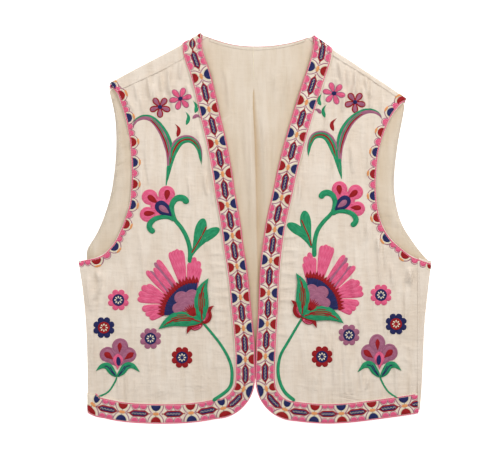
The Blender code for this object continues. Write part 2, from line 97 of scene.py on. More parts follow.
def curve(points, gap=2.0):
    """Catmull-Rom line through points, resampled to even steps of about gap millimetres."""
    ends = [points[0]] + list(points) + [points[-1]]
    dense = []
    for a, b, c, d in zip(ends, ends[1:], ends[2:], ends[3:]):
        for step in range(10):
            t = step / 10
            dense.append(
                tuple(
                    0.5 * (2 * q + (r - p) * t + (2 * p - 5 * q + 4 * r - s) * t * t + (3 * q - p - 3 * r + s) * t**3)
                    for p, q, r, s in zip(a, b, c, d)
                )
            )
    dense.append(tuple(points[-1]))
    line = np.array(dense)
    lengths = lengths_along(line)
    cells = max(3, round(lengths[-1] / gap))
    wanted = np.linspace(0, lengths[-1], cells + 1)
    return np.stack([np.interp(wanted, lengths, line[:, i]) for i in (0, 1)], axis=1)


# ---- Cloth -------------------------------------------------------------------------------

# Creases: start, end and bow of each in the photograph's pixels, then relative height and half width in mm
CREASES = {
    "front_left": [
        (153, 84, 156, 118, 1.0, 1.3, 2.2), (172, 80, 174, 112, -1.0, 1.5, 2.4), (187, 84, 189, 112, 1.5, 1.3, 2.2),
        (140, 96, 143, 116, 0.5, 0.8, 2.0), (163, 92, 163, 112, 0.0, 0.8, 1.8), (180, 88, 182, 104, 0.5, 0.9, 1.8),
        (188, 176, 190, 206, 1.0, 1.0, 2.2), (205, 172, 207, 196, -0.8, 1.0, 2.0), (210, 156, 213, 206, 1.0, 1.2, 2.4),
        (197, 128, 203, 168, 1.0, 0.9, 2.4), (147, 128, 150, 186, -1.5, 0.9, 2.6), (139, 160, 141, 214, 1.5, 0.8, 2.6),
        (208, 255, 226, 254, 0.8, 0.9, 1.8), (207, 264, 227, 265, -0.6, 1.0, 1.8), (209, 272, 228, 271, 0.6, 0.9, 1.7),
        (210, 286, 229, 287, -0.8, 1.0, 1.9), (212, 297, 230, 296, 0.6, 0.9, 1.7), (211, 308, 230, 309, -0.6, 1.0, 1.8),
        (213, 322, 231, 321, 0.6, 0.8, 1.7), (209, 337, 226, 338, 0.8, 0.7, 1.7), (212, 353, 229, 352, 0.6, 0.8, 1.7),
        (209, 364, 228, 366, -0.8, 0.8, 1.9), (96, 270, 99, 282, 1.0, 1.4, 2.4), (101, 272, 94, 300, 1.6, 1.5, 2.8),
        (88, 276, 92, 312, -1.2, 1.3, 2.8), (108, 270, 103, 312, 1.0, 0.9, 2.6), (93, 318, 94, 372, -1.2, 1.0, 2.8),
        (118, 370, 119, 402, 0.4, 0.9, 2.0), (126, 366, 127, 403, -0.4, 0.9, 2.0), (135, 378, 136, 402, 0.4, 0.7, 1.9),
        (148, 346, 150, 396, 0.8, 0.8, 2.4), (171, 372, 170, 404, -0.6, 0.9, 2.2), (191, 366, 194, 402, 0.8, 0.9, 2.2),
        (103, 338, 105, 396, 1.0, 0.9, 2.4), (139, 232, 143, 286, 1.5, 0.8, 2.6), (129, 262, 131, 322, -1.2, 0.8, 2.6),
        (203, 226, 206, 250, 0.8, 0.8, 2.0), (157, 384, 160, 404, 0.4, 0.7, 1.9), (207, 374, 205, 392, 0.6, 0.7, 1.9),
        (196, 60, 192, 90, 1.0, 0.9, 2.2), (124, 96, 134, 112, 0.8, 0.8, 2.0),
        (148, 77, 150, 100, 0.6, 1.5, 2.0), (170, 68, 169, 94, -0.5, 1.6, 2.1), (181, 61, 179, 80, 0.4, 1.3, 1.9),
        (160, 72, 161, 92, 0.4, 1.1, 1.8), (135, 84, 137, 100, 0.4, 1.0, 1.8),
    ],
    "front_right": [
        (326, 328, 327, 354, 0.6, 0.9, 2.0), (326, 84, 325, 136, 1.0, 1.1, 2.4), (333, 148, 334, 180, -0.8, 1.0, 2.2),
        (342, 328, 345, 404, 1.2, 1.1, 2.4), (344, 90, 343, 112, 0.5, 1.1, 2.0), (350, 143, 353, 174, 0.8, 1.0, 2.2),
        (352, 364, 353, 404, -0.6, 1.0, 2.1), (358, 312, 361, 336, 0.6, 0.9, 2.0), (367, 222, 366, 243, 0.5, 0.9, 2.0),
        (368, 374, 366, 390, 0.5, 0.9, 1.9), (378, 235, 379, 252, -0.5, 0.9, 1.9), (390, 262, 393, 290, 0.8, 1.0, 2.2),
        (409, 266, 411, 286, -0.6, 1.3, 2.2), (411, 268, 407, 282, 0.6, 1.3, 2.2), (402, 345, 415, 352, 0.8, 0.6, 1.9),
        (401, 355, 414, 364, -0.6, 0.6, 1.9), (283, 224, 302, 227, 1.0, 1.1, 1.9),
        (282, 237, 301, 235, -0.9, 1.0, 1.9), (281, 250, 299, 252, 0.9, 1.1, 1.9), (280, 262, 298, 260, -0.8, 1.0, 1.8),
        (279, 273, 297, 276, 0.8, 1.1, 1.9), (278, 288, 296, 286, -0.8, 1.0, 1.9), (277, 300, 300, 302, 0.9, 1.1, 2.0),
        (277, 314, 296, 312, -0.6, 0.8, 1.8), (276, 334, 292, 336, 0.6, 0.8, 1.8), (277, 352, 290, 350, 0.6, 0.8, 1.8),
        (337, 78, 338, 100, 0.5, 1.2, 2.1), (353, 84, 354, 104, -0.5, 1.3, 2.1), (362, 86, 364, 112, 0.6, 1.2, 2.1),
        (370, 90, 370, 112, 0.4, 1.1, 2.0), (383, 96, 381, 116, 0.4, 0.8, 1.9), (405, 286, 404, 338, 1.2, 0.9, 2.6),
        (396, 342, 398, 402, -1.0, 1.0, 2.4), (311, 336, 309, 396, 0.9, 0.8, 2.4), (367, 128, 368, 186, 1.2, 0.8, 2.6),
        (386, 306, 385, 344, 0.9, 0.8, 2.4), (333, 236, 335, 268, 0.8, 0.9, 2.3), (357, 250, 355, 300, -1.2, 0.9, 2.6),
        (410, 372, 409, 400, 0.6, 0.9, 2.0), (379, 382, 380, 404, 0.4, 0.7, 1.9), (300, 176, 297, 208, 0.8, 0.9, 2.2),
        (338, 61, 342, 84, 0.5, 1.5, 2.0), (355, 70, 356, 94, -0.4, 1.5, 2.0), (365, 76, 367, 94, 0.4, 1.1, 1.8),
        (371, 80, 371, 98, -0.3, 1.2, 1.9), (347, 66, 348, 84, 0.4, 1.0, 1.8),
        (308, 344, 307, 392, 0.6, 0.9, 2.0), (316, 368, 315, 392, -0.4, 0.9, 1.9), (333, 330, 334, 392, 0.7, 1.1, 2.0),
        (338, 342, 340, 392, -0.5, 0.9, 1.8), (348, 348, 349, 392, 0.5, 1.0, 2.0), (360, 350, 362, 392, -0.6, 0.9, 2.0),
        (377, 236, 380, 284, 0.6, 1.0, 2.0), (384, 240, 386, 270, -0.4, 0.9, 1.9), (351, 262, 352, 296, 0.5, 0.9, 2.0),
    ],
    "back": [
        (250, 92, 251, 236, 0.6, 0.9, 3.0), (262, 92, 266, 206, 0.8, 1.0, 3.0), (246, 112, 247, 182, -0.6, 0.6, 3.0),
        (112, 186, 131, 152, 1.2, 1.0, 2.8), (114, 196, 128, 172, 0.8, 0.8, 2.4), (122, 150, 131, 130, -0.6, 0.7, 2.2),
        (108, 222, 126, 204, 0.8, 0.8, 2.4), (400, 228, 388, 204, 0.8, 0.8, 2.4), (392, 208, 383, 176, 0.8, 0.7, 2.4),
        (222, 62, 232, 108, 1.0, 0.7, 2.8), (292, 62, 284, 110, -1.0, 0.7, 2.8), (274, 60, 275, 92, 0.6, 0.6, 2.6),
        (236, 130, 240, 196, 0.8, 0.6, 2.8), (276, 120, 273, 190, -0.8, 0.6, 2.8), (226, 84, 232, 140, 0.8, 0.6, 2.6),
    ],
}


# Millimetres of height for each unit in the table, how much wider a crease spreads than its
# half width there, and the share of its height that a crease across the cloth keeps
CREASE_LIFT = 3.5
CREASE_SPREAD = 1.4
CROSSWISE_SHARE = 0.5


def crease_rise(points, creases):
    """Height that a table of creases adds at each place in millimetres."""
    rise = np.zeros(len(points))
    for x0, y0, x1, y1, bow, height, width in creases:
        start, end = np.array(on_garment(x0, y0)), np.array(on_garment(x1, y1))
        run = end - start
        length = math.hypot(*run)
        ahead = run / length
        along = (points - start) @ ahead / length
        aside = (points - start) @ np.array([-ahead[1], ahead[0]])
        aside -= 4 * bow * PHOTO_MM * along * (1 - along)
        inside = np.clip(along, 0, 1)
        fade = np.sin(np.pi * inside) ** 0.7
        lift = CREASE_LIFT * (CROSSWISE_SHARE if abs(run[0]) > abs(run[1]) else 1)
        rise += lift * height * fade * np.exp(-((aside / (CREASE_SPREAD * width)) ** 2))
    return rise


# The pleat below the stitched line at the centre back: pixel row, its left fold and its right fold
PLEAT = [
    (86, 253.9, 254.1), (93, 252.9, 255.4), (106, 252.7, 256.9), (141, 254.5, 260.7), (176, 255.4, 264),
    (212, 256.2, 266), (298, 258, 268),
]
PLEAT_OPENS_OVER = 70
PLEAT_CLOSES_OVER = 120
LEFT_FLAP, RIGHT_FLAP = 2.6, 2.2


def pleat_edges(heights):
    """X of the pleat's left and right fold at each Y."""
    rows = [on_garment(0, y)[1] for y, _, _ in PLEAT][::-1]
    left = [on_garment(x, 0)[0] for _, x, _ in PLEAT][::-1]
    right = [on_garment(x, 0)[0] for _, _, x in PLEAT][::-1]
    return np.interp(heights, rows, left), np.interp(heights, rows, right)


def pleat_fade(heights):
    top, bottom = on_garment(0, PLEAT[0][0])[1], on_garment(0, PLEAT[-1][0])[1]
    return smooth_step((top - heights) / PLEAT_OPENS_OVER) * smooth_step((heights - bottom) / PLEAT_CLOSES_OVER)


def pleat_rise(points):
    """Height of the cloth beside the centre back pleat: both flaps stand over the fold between them."""
    left, right = pleat_edges(points[:, 1])
    past_left = left - points[:, 0]
    inside = smooth_step((points[:, 0] - left) / np.maximum(right - left, 2))
    left_flap = LEFT_FLAP * smooth_step((past_left + 1.4) / 2.8) * np.exp(-np.clip(past_left, 0, None) / 45)
    right_flap = RIGHT_FLAP * inside * np.exp(-np.clip(points[:, 0] - right, 0, None) / 40)
    return (left_flap + right_flap) * pleat_fade(points[:, 1])


def corner_sag(points):
    """How far the left hem corner sags past the straight cut."""
    across = smooth_step((-221 - points[:, 0]) / 13) * smooth_step((points[:, 0] + 248) / 9)
    return 2.4 * across * smooth_step((-222 - points[:, 1]) / 20)


def gap_to(line, points):
    """Distance from each point to a line of points."""
    away = points[:, None] - line[None]
    return np.min(np.hypot(away[..., 0], away[..., 1]), axis=1)


def painted_shade_of_back(points):
    """The back's attributes: painted shade near the fronts' edges, and its place in the pleat with the painted shade in
    its fold.
    """
    left, right = pleat_edges(points[:, 1])
    top = on_garment(0, PLEAT[0][0])[1]
    # Painted shade along the fronts' armhole edges and the front opening, where the back lies under the fronts
    share = np.zeros(len(points))
    for side in ("left", "right"):
        armhole = curve(ARMHOLES[side], gap=4)
        opening = curve([(getattr(row, side), row.y) for row in OPENING], gap=4)
        strength = 0.34 if side == "left" else 0.5
        share += strength * np.exp(-((gap_to(armhole, points) / 14) ** 1.3))
        share += 0.4 * np.exp(-gap_to(opening, points) / 15)
    # Place across the pleat, and the strength of the painted shade in its fold, which fades down the pleat
    past_fold = np.clip((points[:, 0] - left) / np.maximum(right - left, 1.5), -3, 3)
    below = top - points[:, 1]
    painted_fold_shade = smooth_step(below / 8) * lerp(0.95, 0.5, np.clip(below / 230, 0, 1))
    return {"painted_shade_near_fronts": np.clip(share, 0, 1), "past_fold": past_fold, "painted_fold_shade": painted_fold_shade}


def deselect():
    bpy.ops.object.select_all(action="DESELECT")


def new_object(name, mesh):
    piece = bpy.data.objects.new(name, mesh)
    bpy.context.scene.collection.objects.link(piece)
    return piece


def press_pleat_top(piece):
    """Evens out the cloth where the pleat opens, first its height and then the crowded rows at its tip."""
    for reach, lowest, highest, sideways in ((26, 15, 215, False), (14, 168, 200, True)):
        for vertex in piece.data.vertices:
            x, y, _ = vertex.co / MM
            vertex.select = abs(x - 2) < reach and lowest < y < highest
        bpy.ops.object.mode_set(mode="EDIT")
        bpy.ops.mesh.select_mode(type="VERT")
        bpy.ops.mesh.vertices_smooth(factor=0.5, repeat=20, xaxis=sideways, yaxis=sideways, zaxis=True)
        bpy.ops.object.mode_set(mode="OBJECT")


def outside_shows(face):
    """Underneath, and past the right side seam, it is the outside of the back that shows."""
    x, y, _ = face.center / MM
    return face.normal.z < -0.2 or (x > RIGHT_SEAM_X and y < UNDERARM_Y - 0.45 * (x - RIGHT_SEAM_X))


def sewn_cloth(node, material, creases, levels, top_only):
    """A packed wall made smooth and creased, as the cloth that shows."""
    piece = new_object("cloth_" + node, bpy.data.objects[node].data.copy())
    piece.data.materials.clear()
    piece.data.materials.append(material)
    deselect()
    bpy.context.view_layer.objects.active = piece
    piece.select_set(True)
    bpy.ops.object.mode_set(mode="EDIT")
    bpy.ops.mesh.select_all(action="SELECT")
    bpy.ops.mesh.remove_doubles(threshold=1e-5)
    bpy.ops.mesh.tris_convert_to_quads(face_threshold=math.radians(60), shape_threshold=math.radians(70))
    bpy.ops.mesh.select_all(action="DESELECT")
    bpy.ops.mesh.select_mode(type="EDGE")
    bpy.ops.mesh.edges_select_sharp(sharpness=math.radians(50))
    bpy.ops.transform.edge_crease(value=1)
    bpy.ops.object.mode_set(mode="OBJECT")
    finer = piece.modifiers.new("finer", "SUBSURF")
    finer.levels = finer.render_levels = levels
    bpy.ops.object.modifier_apply(modifier="finer")
    if node == "back":
        press_pleat_top(piece)
    count = len(piece.data.vertices)
    flat = np.empty(count * 3)
    piece.data.vertices.foreach_get("co", flat)
    points = flat.reshape(-1, 3) / MM
    rise = crease_rise(points[:, :2], creases) if len(creases) else np.zeros(count)
    if node == "back":
        rise += pleat_rise(points[:, :2])
    if top_only:
        normals = np.empty(count * 3)
        piece.data.vertices.foreach_get("normal", normals)
        rise *= smooth_step(normals.reshape(-1, 3)[:, 2] * 2)
    if node == "neck_facing":
        points[:, 2] = lerp(points[:, 2].min(), points[:, 2], FACING_SHARE)
    if node == "neck_border":
        points[:, 2] = np.maximum(points[:, 2], UNDER_STITCHES)
    points[:, 1] -= corner_sag(points)
    points[:, 2] = np.maximum(points[:, 2] + rise, 0)
    piece.data.vertices.foreach_set("co", (points * MM).ravel())
    if node == "back":
        # The back carries its painted shade in these attributes
        for name, values in painted_shade_of_back(points[:, :2]).items():
            piece.data.attributes.new(name, "FLOAT", "POINT").data.foreach_set("value", values)
        piece.data.materials.append(gauze)
        for face in piece.data.polygons:
            face.material_index = int(outside_shows(face))
    bpy.ops.object.shade_smooth_by_angle(angle=math.radians(50))
    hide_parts(node)
    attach(piece, "root")
    return piece


# ---- Stitching ---------------------------------------------------------------------------


class Stitching:
    """The embroidery on one panel: points, faces and thread directions for each thread colour."""

    def __init__(self, panel, surface, under=False):
        self.panel = panel
        self.surface = surface
        self.threads = {}
        # Stitches under the garment point down, and are pressed flat by its weight
        self.way, self.relief = (-1, 0.35) if under else (1, 1)

    def on_cloth(self, places):
        """Each place on the cloth, with its height. What would hang past an edge is drawn back to it."""
        found = np.empty((len(places), 3))
        for i, (x, y) in enumerate(places):
            hit = self.surface.ray_cast(Vector((x * MM, y * MM, 0.05 * self.way)), Vector((0, 0, -self.way)))[0]
            if hit is None:
                edge = self.surface.find_nearest(Vector((x * MM, y * MM, 0.006 if self.way > 0 else 0)))[0]
                away = math.hypot(x - edge.x / MM, y - edge.y / MM)
                keep = min(1, 0.5 / max(away, 1e-6))
                hit = Vector((lerp(edge.x, x * MM, keep), lerp(edge.y, y * MM, keep), edge.z))
            found[i] = hit
        return found / MM

    def pad(self, thread, left, right, height=0.7, lift=0.0, threads_along=True):
        """Raised satin stitching between two edge lines, domed and let into the cloth at its rims."""
        rows, columns = len(left), len(ACROSS)
        width = np.hypot(*(right - left).T)
        middle = (left + right) / 2
        along = lengths_along(middle)
        across = np.array(ACROSS)
        places = left[:, None] + (right - left)[:, None] * across[None, :, None]
        found = self.on_cloth(places.reshape(-1, 2)).reshape(rows, columns, 3)
        places, ground = found[..., :2], found[..., 2]
        if thread == "lap":
            ground = bridged(ground)
        dome = np.minimum(height, 0.32 * width)[:, None] * np.array(DOME)[None]
        level = ground + self.way * self.relief * (dome + lift - 0.15 * (np.array(DOME) == 0)[None])
        points, faces, map_places = self.threads.setdefault(thread, ([], [], []))
        first = len(points)
        for i in range(rows):
            for j in range(columns):
                points.append((places[i, j, 0] * MM, places[i, j, 1] * MM, max(level[i, j], 0.05) * MM))
                spot = (along[i], across[j] * width[i])
                map_places.append(spot if threads_along else spot[::-1])
        for i in range(rows - 1):
            a, b = first + i * columns, first + (i + 1) * columns
            for j in range(columns - 1):
                faces.append((a + j, b + j, b + j + 1, a + j + 1))
            faces.append((a + columns - 1, b + columns - 1, b, a))

    def make(self, materials):
        pieces = []
        for thread, (points, faces, map_places) in self.threads.items():
            mesh = bpy.data.meshes.new(f"stitches_{self.panel}_{thread}")
            mesh.from_pydata(points, [], faces)
            layer = mesh.uv_layers.new(name="thread")
            order = np.empty(len(mesh.loops), dtype=np.int32)
            mesh.loops.foreach_get("vertex_index", order)
            layer.data.foreach_set("uv", np.array(map_places)[order].ravel())
            piece = new_object(mesh.name, mesh)
            mesh.materials.append(materials[thread])
            deselect()
            bpy.context.view_layer.objects.active = piece
            piece.select_set(True)
            bpy.ops.object.mode_set(mode="EDIT")
            bpy.ops.mesh.select_all(action="SELECT")
            bpy.ops.mesh.remove_doubles(threshold=2e-6)
            bpy.ops.mesh.dissolve_degenerate(threshold=1e-6)
            bpy.ops.mesh.select_all(action="SELECT")
            bpy.ops.mesh.normals_make_consistent(inside=False)
            bpy.ops.object.mode_set(mode="OBJECT")
            bpy.ops.object.shade_smooth_by_angle(angle=math.radians(75))
            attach(piece, "root")
            pieces.append(piece)
        return pieces


def bridged(ground):
    """A lap lies straight over the gap of the seam that it covers."""

    def along(heights):
        around = np.pad(heights, 6, mode="edge")
        highest = np.array([around[i : i + 13].max() for i in range(len(heights))])
        return np.convolve(np.pad(highest, 4, mode="edge"), np.full(9, 1 / 9), "valid")

    level = ground.copy()
    level[:, 0], level[:, -1] = along(ground[:, 0]), along(ground[:, -1])
    level[:, 1:-1] = np.maximum(level[:, :1], level[:, -1:])
    return level


# Share of the width at each point across a pad, and its height there
ACROSS = (0, 0.1, 0.32, 0.68, 0.9, 1)
DOME = (0, 0.7, 1, 1, 0.7, 0)


def stations(length, gap=2.2):
    """Shares of a length, closer together at both ends so that round tips stay round."""
    cells = max(4, round(length / gap))
    ends = [0.06 / cells, 0.25 / cells, 0.6 / cells]
    if length < 5:
        cells, ends = 3, [0.03, 0.14]
    return np.array(sorted([i / cells for i in range(cells + 1)] + ends + [1 - end for end in ends]))


# Shapes that swell like a bent sine: power of the length and of the sine
SWELLING = {"drop": (1.7, 0.8), "bract": (0.72, 0.95), "bud": (0.62, 0.9)}

# Shapes that widen from the foot to a round tip: width at the foot, where they are full, where
# the tip starts to round, and how fast the foot opens
ROUND_TIPPED = {
    "lobe": (0.3, 0.55, 0.55, 30),
    "daisy": (0.3, 0.6, 0.68, 30),
    "paddle": (0.16, 0.7, 0.7, 30),
    "sepal": (0.62, 0.8, 0.93, 20),
}


def round_tipped(t, foot, full, rounds, opens):
    rising = lerp(foot, 1, smooth_step(t / full))
    tip = np.sqrt(np.clip(1 - (np.clip(t - rounds, 0, 1) / (1 - rounds)) ** 2, 0, 1))
    return rising * tip * np.minimum(1, t * opens)


def width_shares(shape, t):
    """Half width at each share of the length, as a share of the widest."""
    if shape in SWELLING:
        bend, power = SWELLING[shape]
        return np.sin(np.pi * t**bend) ** power
    if shape in ROUND_TIPPED:
        return round_tipped(t, *ROUND_TIPPED[shape])
    if shape == "cup":
        rising = np.sin(np.pi / 2 * np.clip(t / 0.66, 0, 1)) ** 0.9
        return rising * np.sqrt(np.clip(1 - (np.clip(t - 0.66, 0, 1) / 0.34) ** 2, 0, 1))
    if shape == "spear":
        return np.clip(1 - t, 0, 1) ** 0.7 * np.minimum(1, t * 12)
    if shape == "spike":
        return np.clip(1 - t, 0, 1) * np.minimum(1, t * 12)
    return half_round(t)


def half_round(t):
    return np.sqrt(np.clip(1 - (2 * t - 1) ** 2, 0, 1))


def edges_of(spine, left, right):
    """Lines at given distances to the left and right of a spine."""
    ahead = np.gradient(spine, axis=0)
    ahead /= np.maximum(np.hypot(*ahead.T), 1e-9)[:, None]
    aside = np.stack([-ahead[:, 1], ahead[:, 0]], axis=1)
    return spine + aside * left[:, None], spine - aside * right[:, None]


def along_line(points, shares):
    line = np.asarray(points, dtype=float)
    lengths = lengths_along(line)
    return np.stack([np.interp(shares * lengths[-1], lengths, line[:, i]) for i in (0, 1)], axis=1)


def bowed(base, tip, bend):
    """Line from base to tip that bends to its left by a share of its length."""
    base, tip = np.array(base, dtype=float), np.array(tip, dtype=float)
    run = tip - base
    aside = np.array([-run[1], run[0]]) * bend
    return curve([tuple(base), tuple(lerp(base, tip, 0.5) + aside), tuple(tip)], gap=1.0)


class Ground:
    """A place to embroider: shapes drawn in its own millimetres are carried on to the garment."""

    def __init__(self, stitching, place):
        self.stitching = stitching
        self.place = place

    def sew(self, thread, left, right, **finish):
        left, right = self.place(left), self.place(right)
        self.stitching.pad(thread, left, right, **finish)

    def shape(self, thread, spine, width, kind, lean=0.0, edge=None, edge_width=1.5, **finish):
        """A filled shape along a spine, with a corded edge in another thread if one is named."""
        length = length_of(spine)
        t = stations(length)
        middle = along_line(spine, t)
        half = width_shares(kind, t) * width / 2
        left, right = edges_of(middle, half * (1 + lean), half * (1 - lean))
        self.sew(thread, left, right, **finish)
        if edge:
            lift = finish.get("lift", 0) + 0.15
            around = np.concatenate([left[1:], right[::-1][1:-1]])
            self.line(edge, around, edge_width, lift=lift, height=0.55)

    def petal(self, thread, base, tip, width, kind, bend=0.0, **finish):
        self.shape(thread, bowed(base, tip, bend), width, kind, **finish)

    def line(self, thread, points, width, closed=False, height=0.45, lift=0.0, smooth=False, threads_along=True):
        """A corded line, with rounded ends unless it is closed."""
        points = np.asarray(points, dtype=float)
        if closed:
            points = np.concatenate([points, points[:1]])
        if smooth:
            points = curve([tuple(p) for p in points], gap=1.2)
        length = length_of(points)
        if closed:
            t = np.linspace(0, 1, max(10, round(length / 1.6)))
            half = np.full(len(t), width / 2)
        else:
            t = stations(length, gap=1.8)
            half = width / 2 * np.sqrt(np.clip(np.minimum(t, 1 - t) * length / (width / 2), 0, 1))
        middle = along_line(points, t)
        left, right = edges_of(middle, half, half)
        if closed:
            left[-1], right[-1] = left[0], right[0]
        self.sew(thread, left, right, height=height, lift=lift, threads_along=threads_along)

    def disc(self, thread, centre, radius, **finish):
        spine = np.array([(centre[0] - radius, centre[1]), (centre[0] + radius, centre[1])])
        self.shape(thread, spine, 2 * radius, "oval", **finish)

    def ring(self, thread, centre, radius, width, **finish):
        self.line(thread, arc_points(centre, radius, 0, 360)[:-1], width, closed=True, **finish)


def arc_points(centre, radius, start, end, squash=1.0):
    """Points on an arc between two angles in degrees."""
    angles = np.radians(np.linspace(start, end, max(5, round(abs(end - start) / 9) + 1)))
    return np.stack([centre[0] + radius * np.cos(angles), centre[1] + squash * radius * np.sin(angles)], axis=1)


def polar(degrees, radius, centre=(0, 0)):
    angle = math.radians(degrees)
    return (centre[0] + radius * math.cos(angle), centre[1] + radius * math.sin(angle))


def motif_ground(stitching, px, py, mirrored=False, wide=1.0, tall=1.0):
    """Ground whose middle lies at a pixel of the photograph; a mirrored one has its X turned over."""
    x, y = on_garment(px, py)
    side = -1 if mirrored else 1
    return Ground(stitching, lambda points: points * (wide * side, tall) + (x, y))


def px_down(dx, dy):
    """Offset in the photograph's pixels, Y downwards, as millimetres, Y upwards."""
    return (dx * PHOTO_MM, -dy * PHOTO_MM)


def spine_down(spots):
    return curve([px_down(*spot) for spot in spots], gap=1.2)


def beside(spine, start, end, count, aside):
    """A vein of a leaf: part of its spine, bowed to one side by up to so many millimetres."""
    t = np.linspace(start, end, count)
    return edges_of(along_line(spine, t), aside * np.sin(np.pi * t), 0 * t)[0]


# ---- Embroidered border ------------------------------------------------------------------

# Front opening as cut: height, left edge, right edge
OPENING = table(
    "y left right",
    [
        (-207, 0.2, 1.2), (-171, -0.6, 2.5), (-120, -5.5, 5.5), (-69, -10.5, 7.5), (-28, -16.7, 11.5),
        (12, -22, 17.6), (53, -29.5, 27), (87, -34.5, 34), (130, -42.6, 45), (174, -53, 58),
        (206, -60, 68), (233, -67, 77), (255, -75, 84),
    ],
)
HEM = table(
    "left left_y right right_y",
    [
        (-80, -286, 85, -288), (-111, -288.6, 110, -289), (-152, -289, 140, -287.5),
        (-192, -286.6, 171, -284), (-220, -281.7, 211, -278.5), (-241.5, -276, 241.7, -273.5),
    ],
)
HEM_BOTTOM = {"left": -282.5, "right": -285.5}
NECK_END = {"left": [(-77.8, 288), (-78, 267)], "right": [(85, 284), (86.5, 275)]}

# Armhole edges of the fronts from the shoulder down
ARMHOLES = {
    "left": [
        (-219, 210), (-205, 201.5), (-197, 182), (-191, 162), (-186, 136), (-183.4, 112), (-182.3, 87), (-182.8, 63),
        (-185, 37), (-191, 17), (-197, 0), (-204.5, -16), (-213, -28), (-229, -42), (-257, -48),
    ],
    "right": [
        (229, 187), (222, 187), (214, 182), (200, 162), (189.5, 136), (183, 112), (180.3, 87), (179, 63),
        (180.8, 37), (184.5, 17), (190.5, 0), (201, -16), (214, -28), (232, -42), (242, -45.5),
    ],
}

# Peach dots down the middle of each border, in the photograph's pixels
DOTS = {
    "left": [
        (202, 76.6), (208.6, 110), (216, 143), (221, 174), (226, 204.5), (232, 235), (235, 266), (238, 298),
        (241, 329), (243, 359), (242, 388), (223, 410), (190.7, 412.6), (156.4, 413), (122.5, 411), (89.4, 406),
    ],
    "right": [
        (315, 68.5), (305, 102), (295.6, 135), (288, 167), (281, 198), (276, 230), (271.5, 261), (269.5, 293),
        (269, 324.5), (267, 356), (268, 388), (284.6, 410), (314.7, 412.7), (342, 413), (372, 411), (405, 406.5),
    ],
}

# The short lens of the neck border where it crosses each shoulder fold
FOLD_LENS = {"left": (192.1, 44.8), "right": (325.6, 40.5)}

# Half moons down each armhole, in the photograph's pixels
ARMHOLE_MOONS = {
    "left": [
        (112, 84), (119.6, 96), (127, 118), (131, 141.5), (133, 162), (133.6, 184), (131, 204), (126, 224.6),
        (114.6, 246), (97.4, 262.5),
    ],
    "right": [
        (401, 98), (391, 112), (382, 132), (377, 152), (374, 174), (374, 196), (377, 217), (387, 238), (405, 254),
    ],
}


class Run:
    """A line to sew along: S goes along it, W across it towards the cut edge."""

    def __init__(self, outline, inset, outward):
        outline = curve(outline, gap=3.0)
        ahead = self.ahead_of(outline)
        aside = np.stack([-ahead[:, 1], ahead[:, 0]], axis=1) * outward
        inner = outline - aside * inset
        steps = length_of(inner) / 2
        self.line = along_line(inner, np.linspace(0, 1, round(steps) + 1))
        self.outward = outward
        self.lengths = lengths_along(self.line)
        self.length = self.lengths[-1]
        self.aheads = self.ahead_of(self.line)

    @staticmethod
    def ahead_of(line):
        ahead = np.gradient(line, axis=0)
        return ahead / np.maximum(np.hypot(*ahead.T), 1e-9)[:, None]

    def place(self, points):
        s, w = points[:, 0], points[:, 1]
        spot = np.stack([np.interp(s, self.lengths, self.line[:, i]) for i in (0, 1)], axis=1)
        ahead = np.stack([np.interp(s, self.lengths, self.aheads[:, i]) for i in (0, 1)], axis=1)
        beyond = s - np.clip(s, 0, self.length)
        aside = np.stack([-ahead[:, 1], ahead[:, 0]], axis=1) * self.outward
        return spot + aside * w[:, None] + ahead * beyond[:, None]

    def nearest(self, px, py):
        gaps = np.hypot(*(self.line - np.array(on_garment(px, py))).T)
        return float(self.lengths[int(np.argmin(gaps))])


def border_outline(side):
    """Cut edge of a front from its neck end down the opening, round the corner and along the hem."""
    inward = -1 if side == "left" else 1
    opening = [(getattr(row, side), row.y) for row in reversed(OPENING)]
    centre = (opening[-1][0] + inward * CORNER, HEM_BOTTOM[side] + CORNER)
    corner = [
        (centre[0] - inward * CORNER * math.cos(a), centre[1] - CORNER * math.sin(a))
        for a in np.radians([0, 18, 36, 54, 72, 90])
    ]
    hem = [(getattr(row, side), getattr(row, side + "_y")) for row in HEM]
    past = [(-249, -270.5)] if side == "left" else []
    return NECK_END[side] + opening + corner + hem + past


def shifted(ground, s, w=0.0, turned=1, flipped=1):
    """The same ground moved to S and W, turned end for end or flipped over its middle line."""
    return Ground(
        ground.stitching,
        lambda points: ground.place(np.stack([s + turned * points[:, 0], w + flipped * points[:, 1]], axis=1)),
    )


# W of the border pattern's two edges, and how it is drawn narrower and off the middle of the fronts' tape
PATTERN_EDGE = 13.4
TAPE_NARROWED = (1, 0.94)
TAPE_OFF_MIDDLE = (0, 0.9)

# W of the flat sides of the armhole's shapes, and the neck border's repeat
ARMHOLE_FLAT = -2.2
NECK_REPEAT = 46


def half_moon(ground, colour, length=14.6, depth=9.0):
    """Half moon with its flat side at W 0, its cream arc, and the mauve arch outside it."""
    t = stations(length, gap=1.4)
    bow = depth * half_round(t)
    s = (t - 0.5) * length
    flat = np.stack([s, np.zeros_like(s)], axis=1)
    crown = np.stack([s, -bow], axis=1)
    ground.sew(colour, flat, crown, height=0.9, threads_along=False)
    arc = arc_points((0, 0), length / 2 + 1.4, 180, 360, squash=(depth + 1.4) / (length / 2 + 1.4))
    ground.line("cream", arc, 2.1, height=0.7)


def tape_dot(ground, outer, inner, turns=(1, -1)):
    """Peach dot with a half moon on each edge and the arches that join it to the next shapes."""
    ground.shape("peach", np.array([(-4.5, 0), (4.5, 0)]), 5.8, "oval", height=0.8, threads_along=False)
    for flip, colour in ((1, outer), (-1, inner)):
        side = shifted(ground, 0, PATTERN_EDGE * flip, flipped=flip)
        half_moon(side, colour)
        side.line("navy", np.array([(0, -8.8), (0, -11.2)]), 0.9, height=0.4, lift=0.5)
        for turn in turns:
            arch = np.array([(11.6, 0), (10.9, -4.4), (9.2, -8.2), (7.0, -11.2), (4.8, -13.4)]) * (turn, 1)
            side.line("mauve", arch, 1.35, smooth=True)


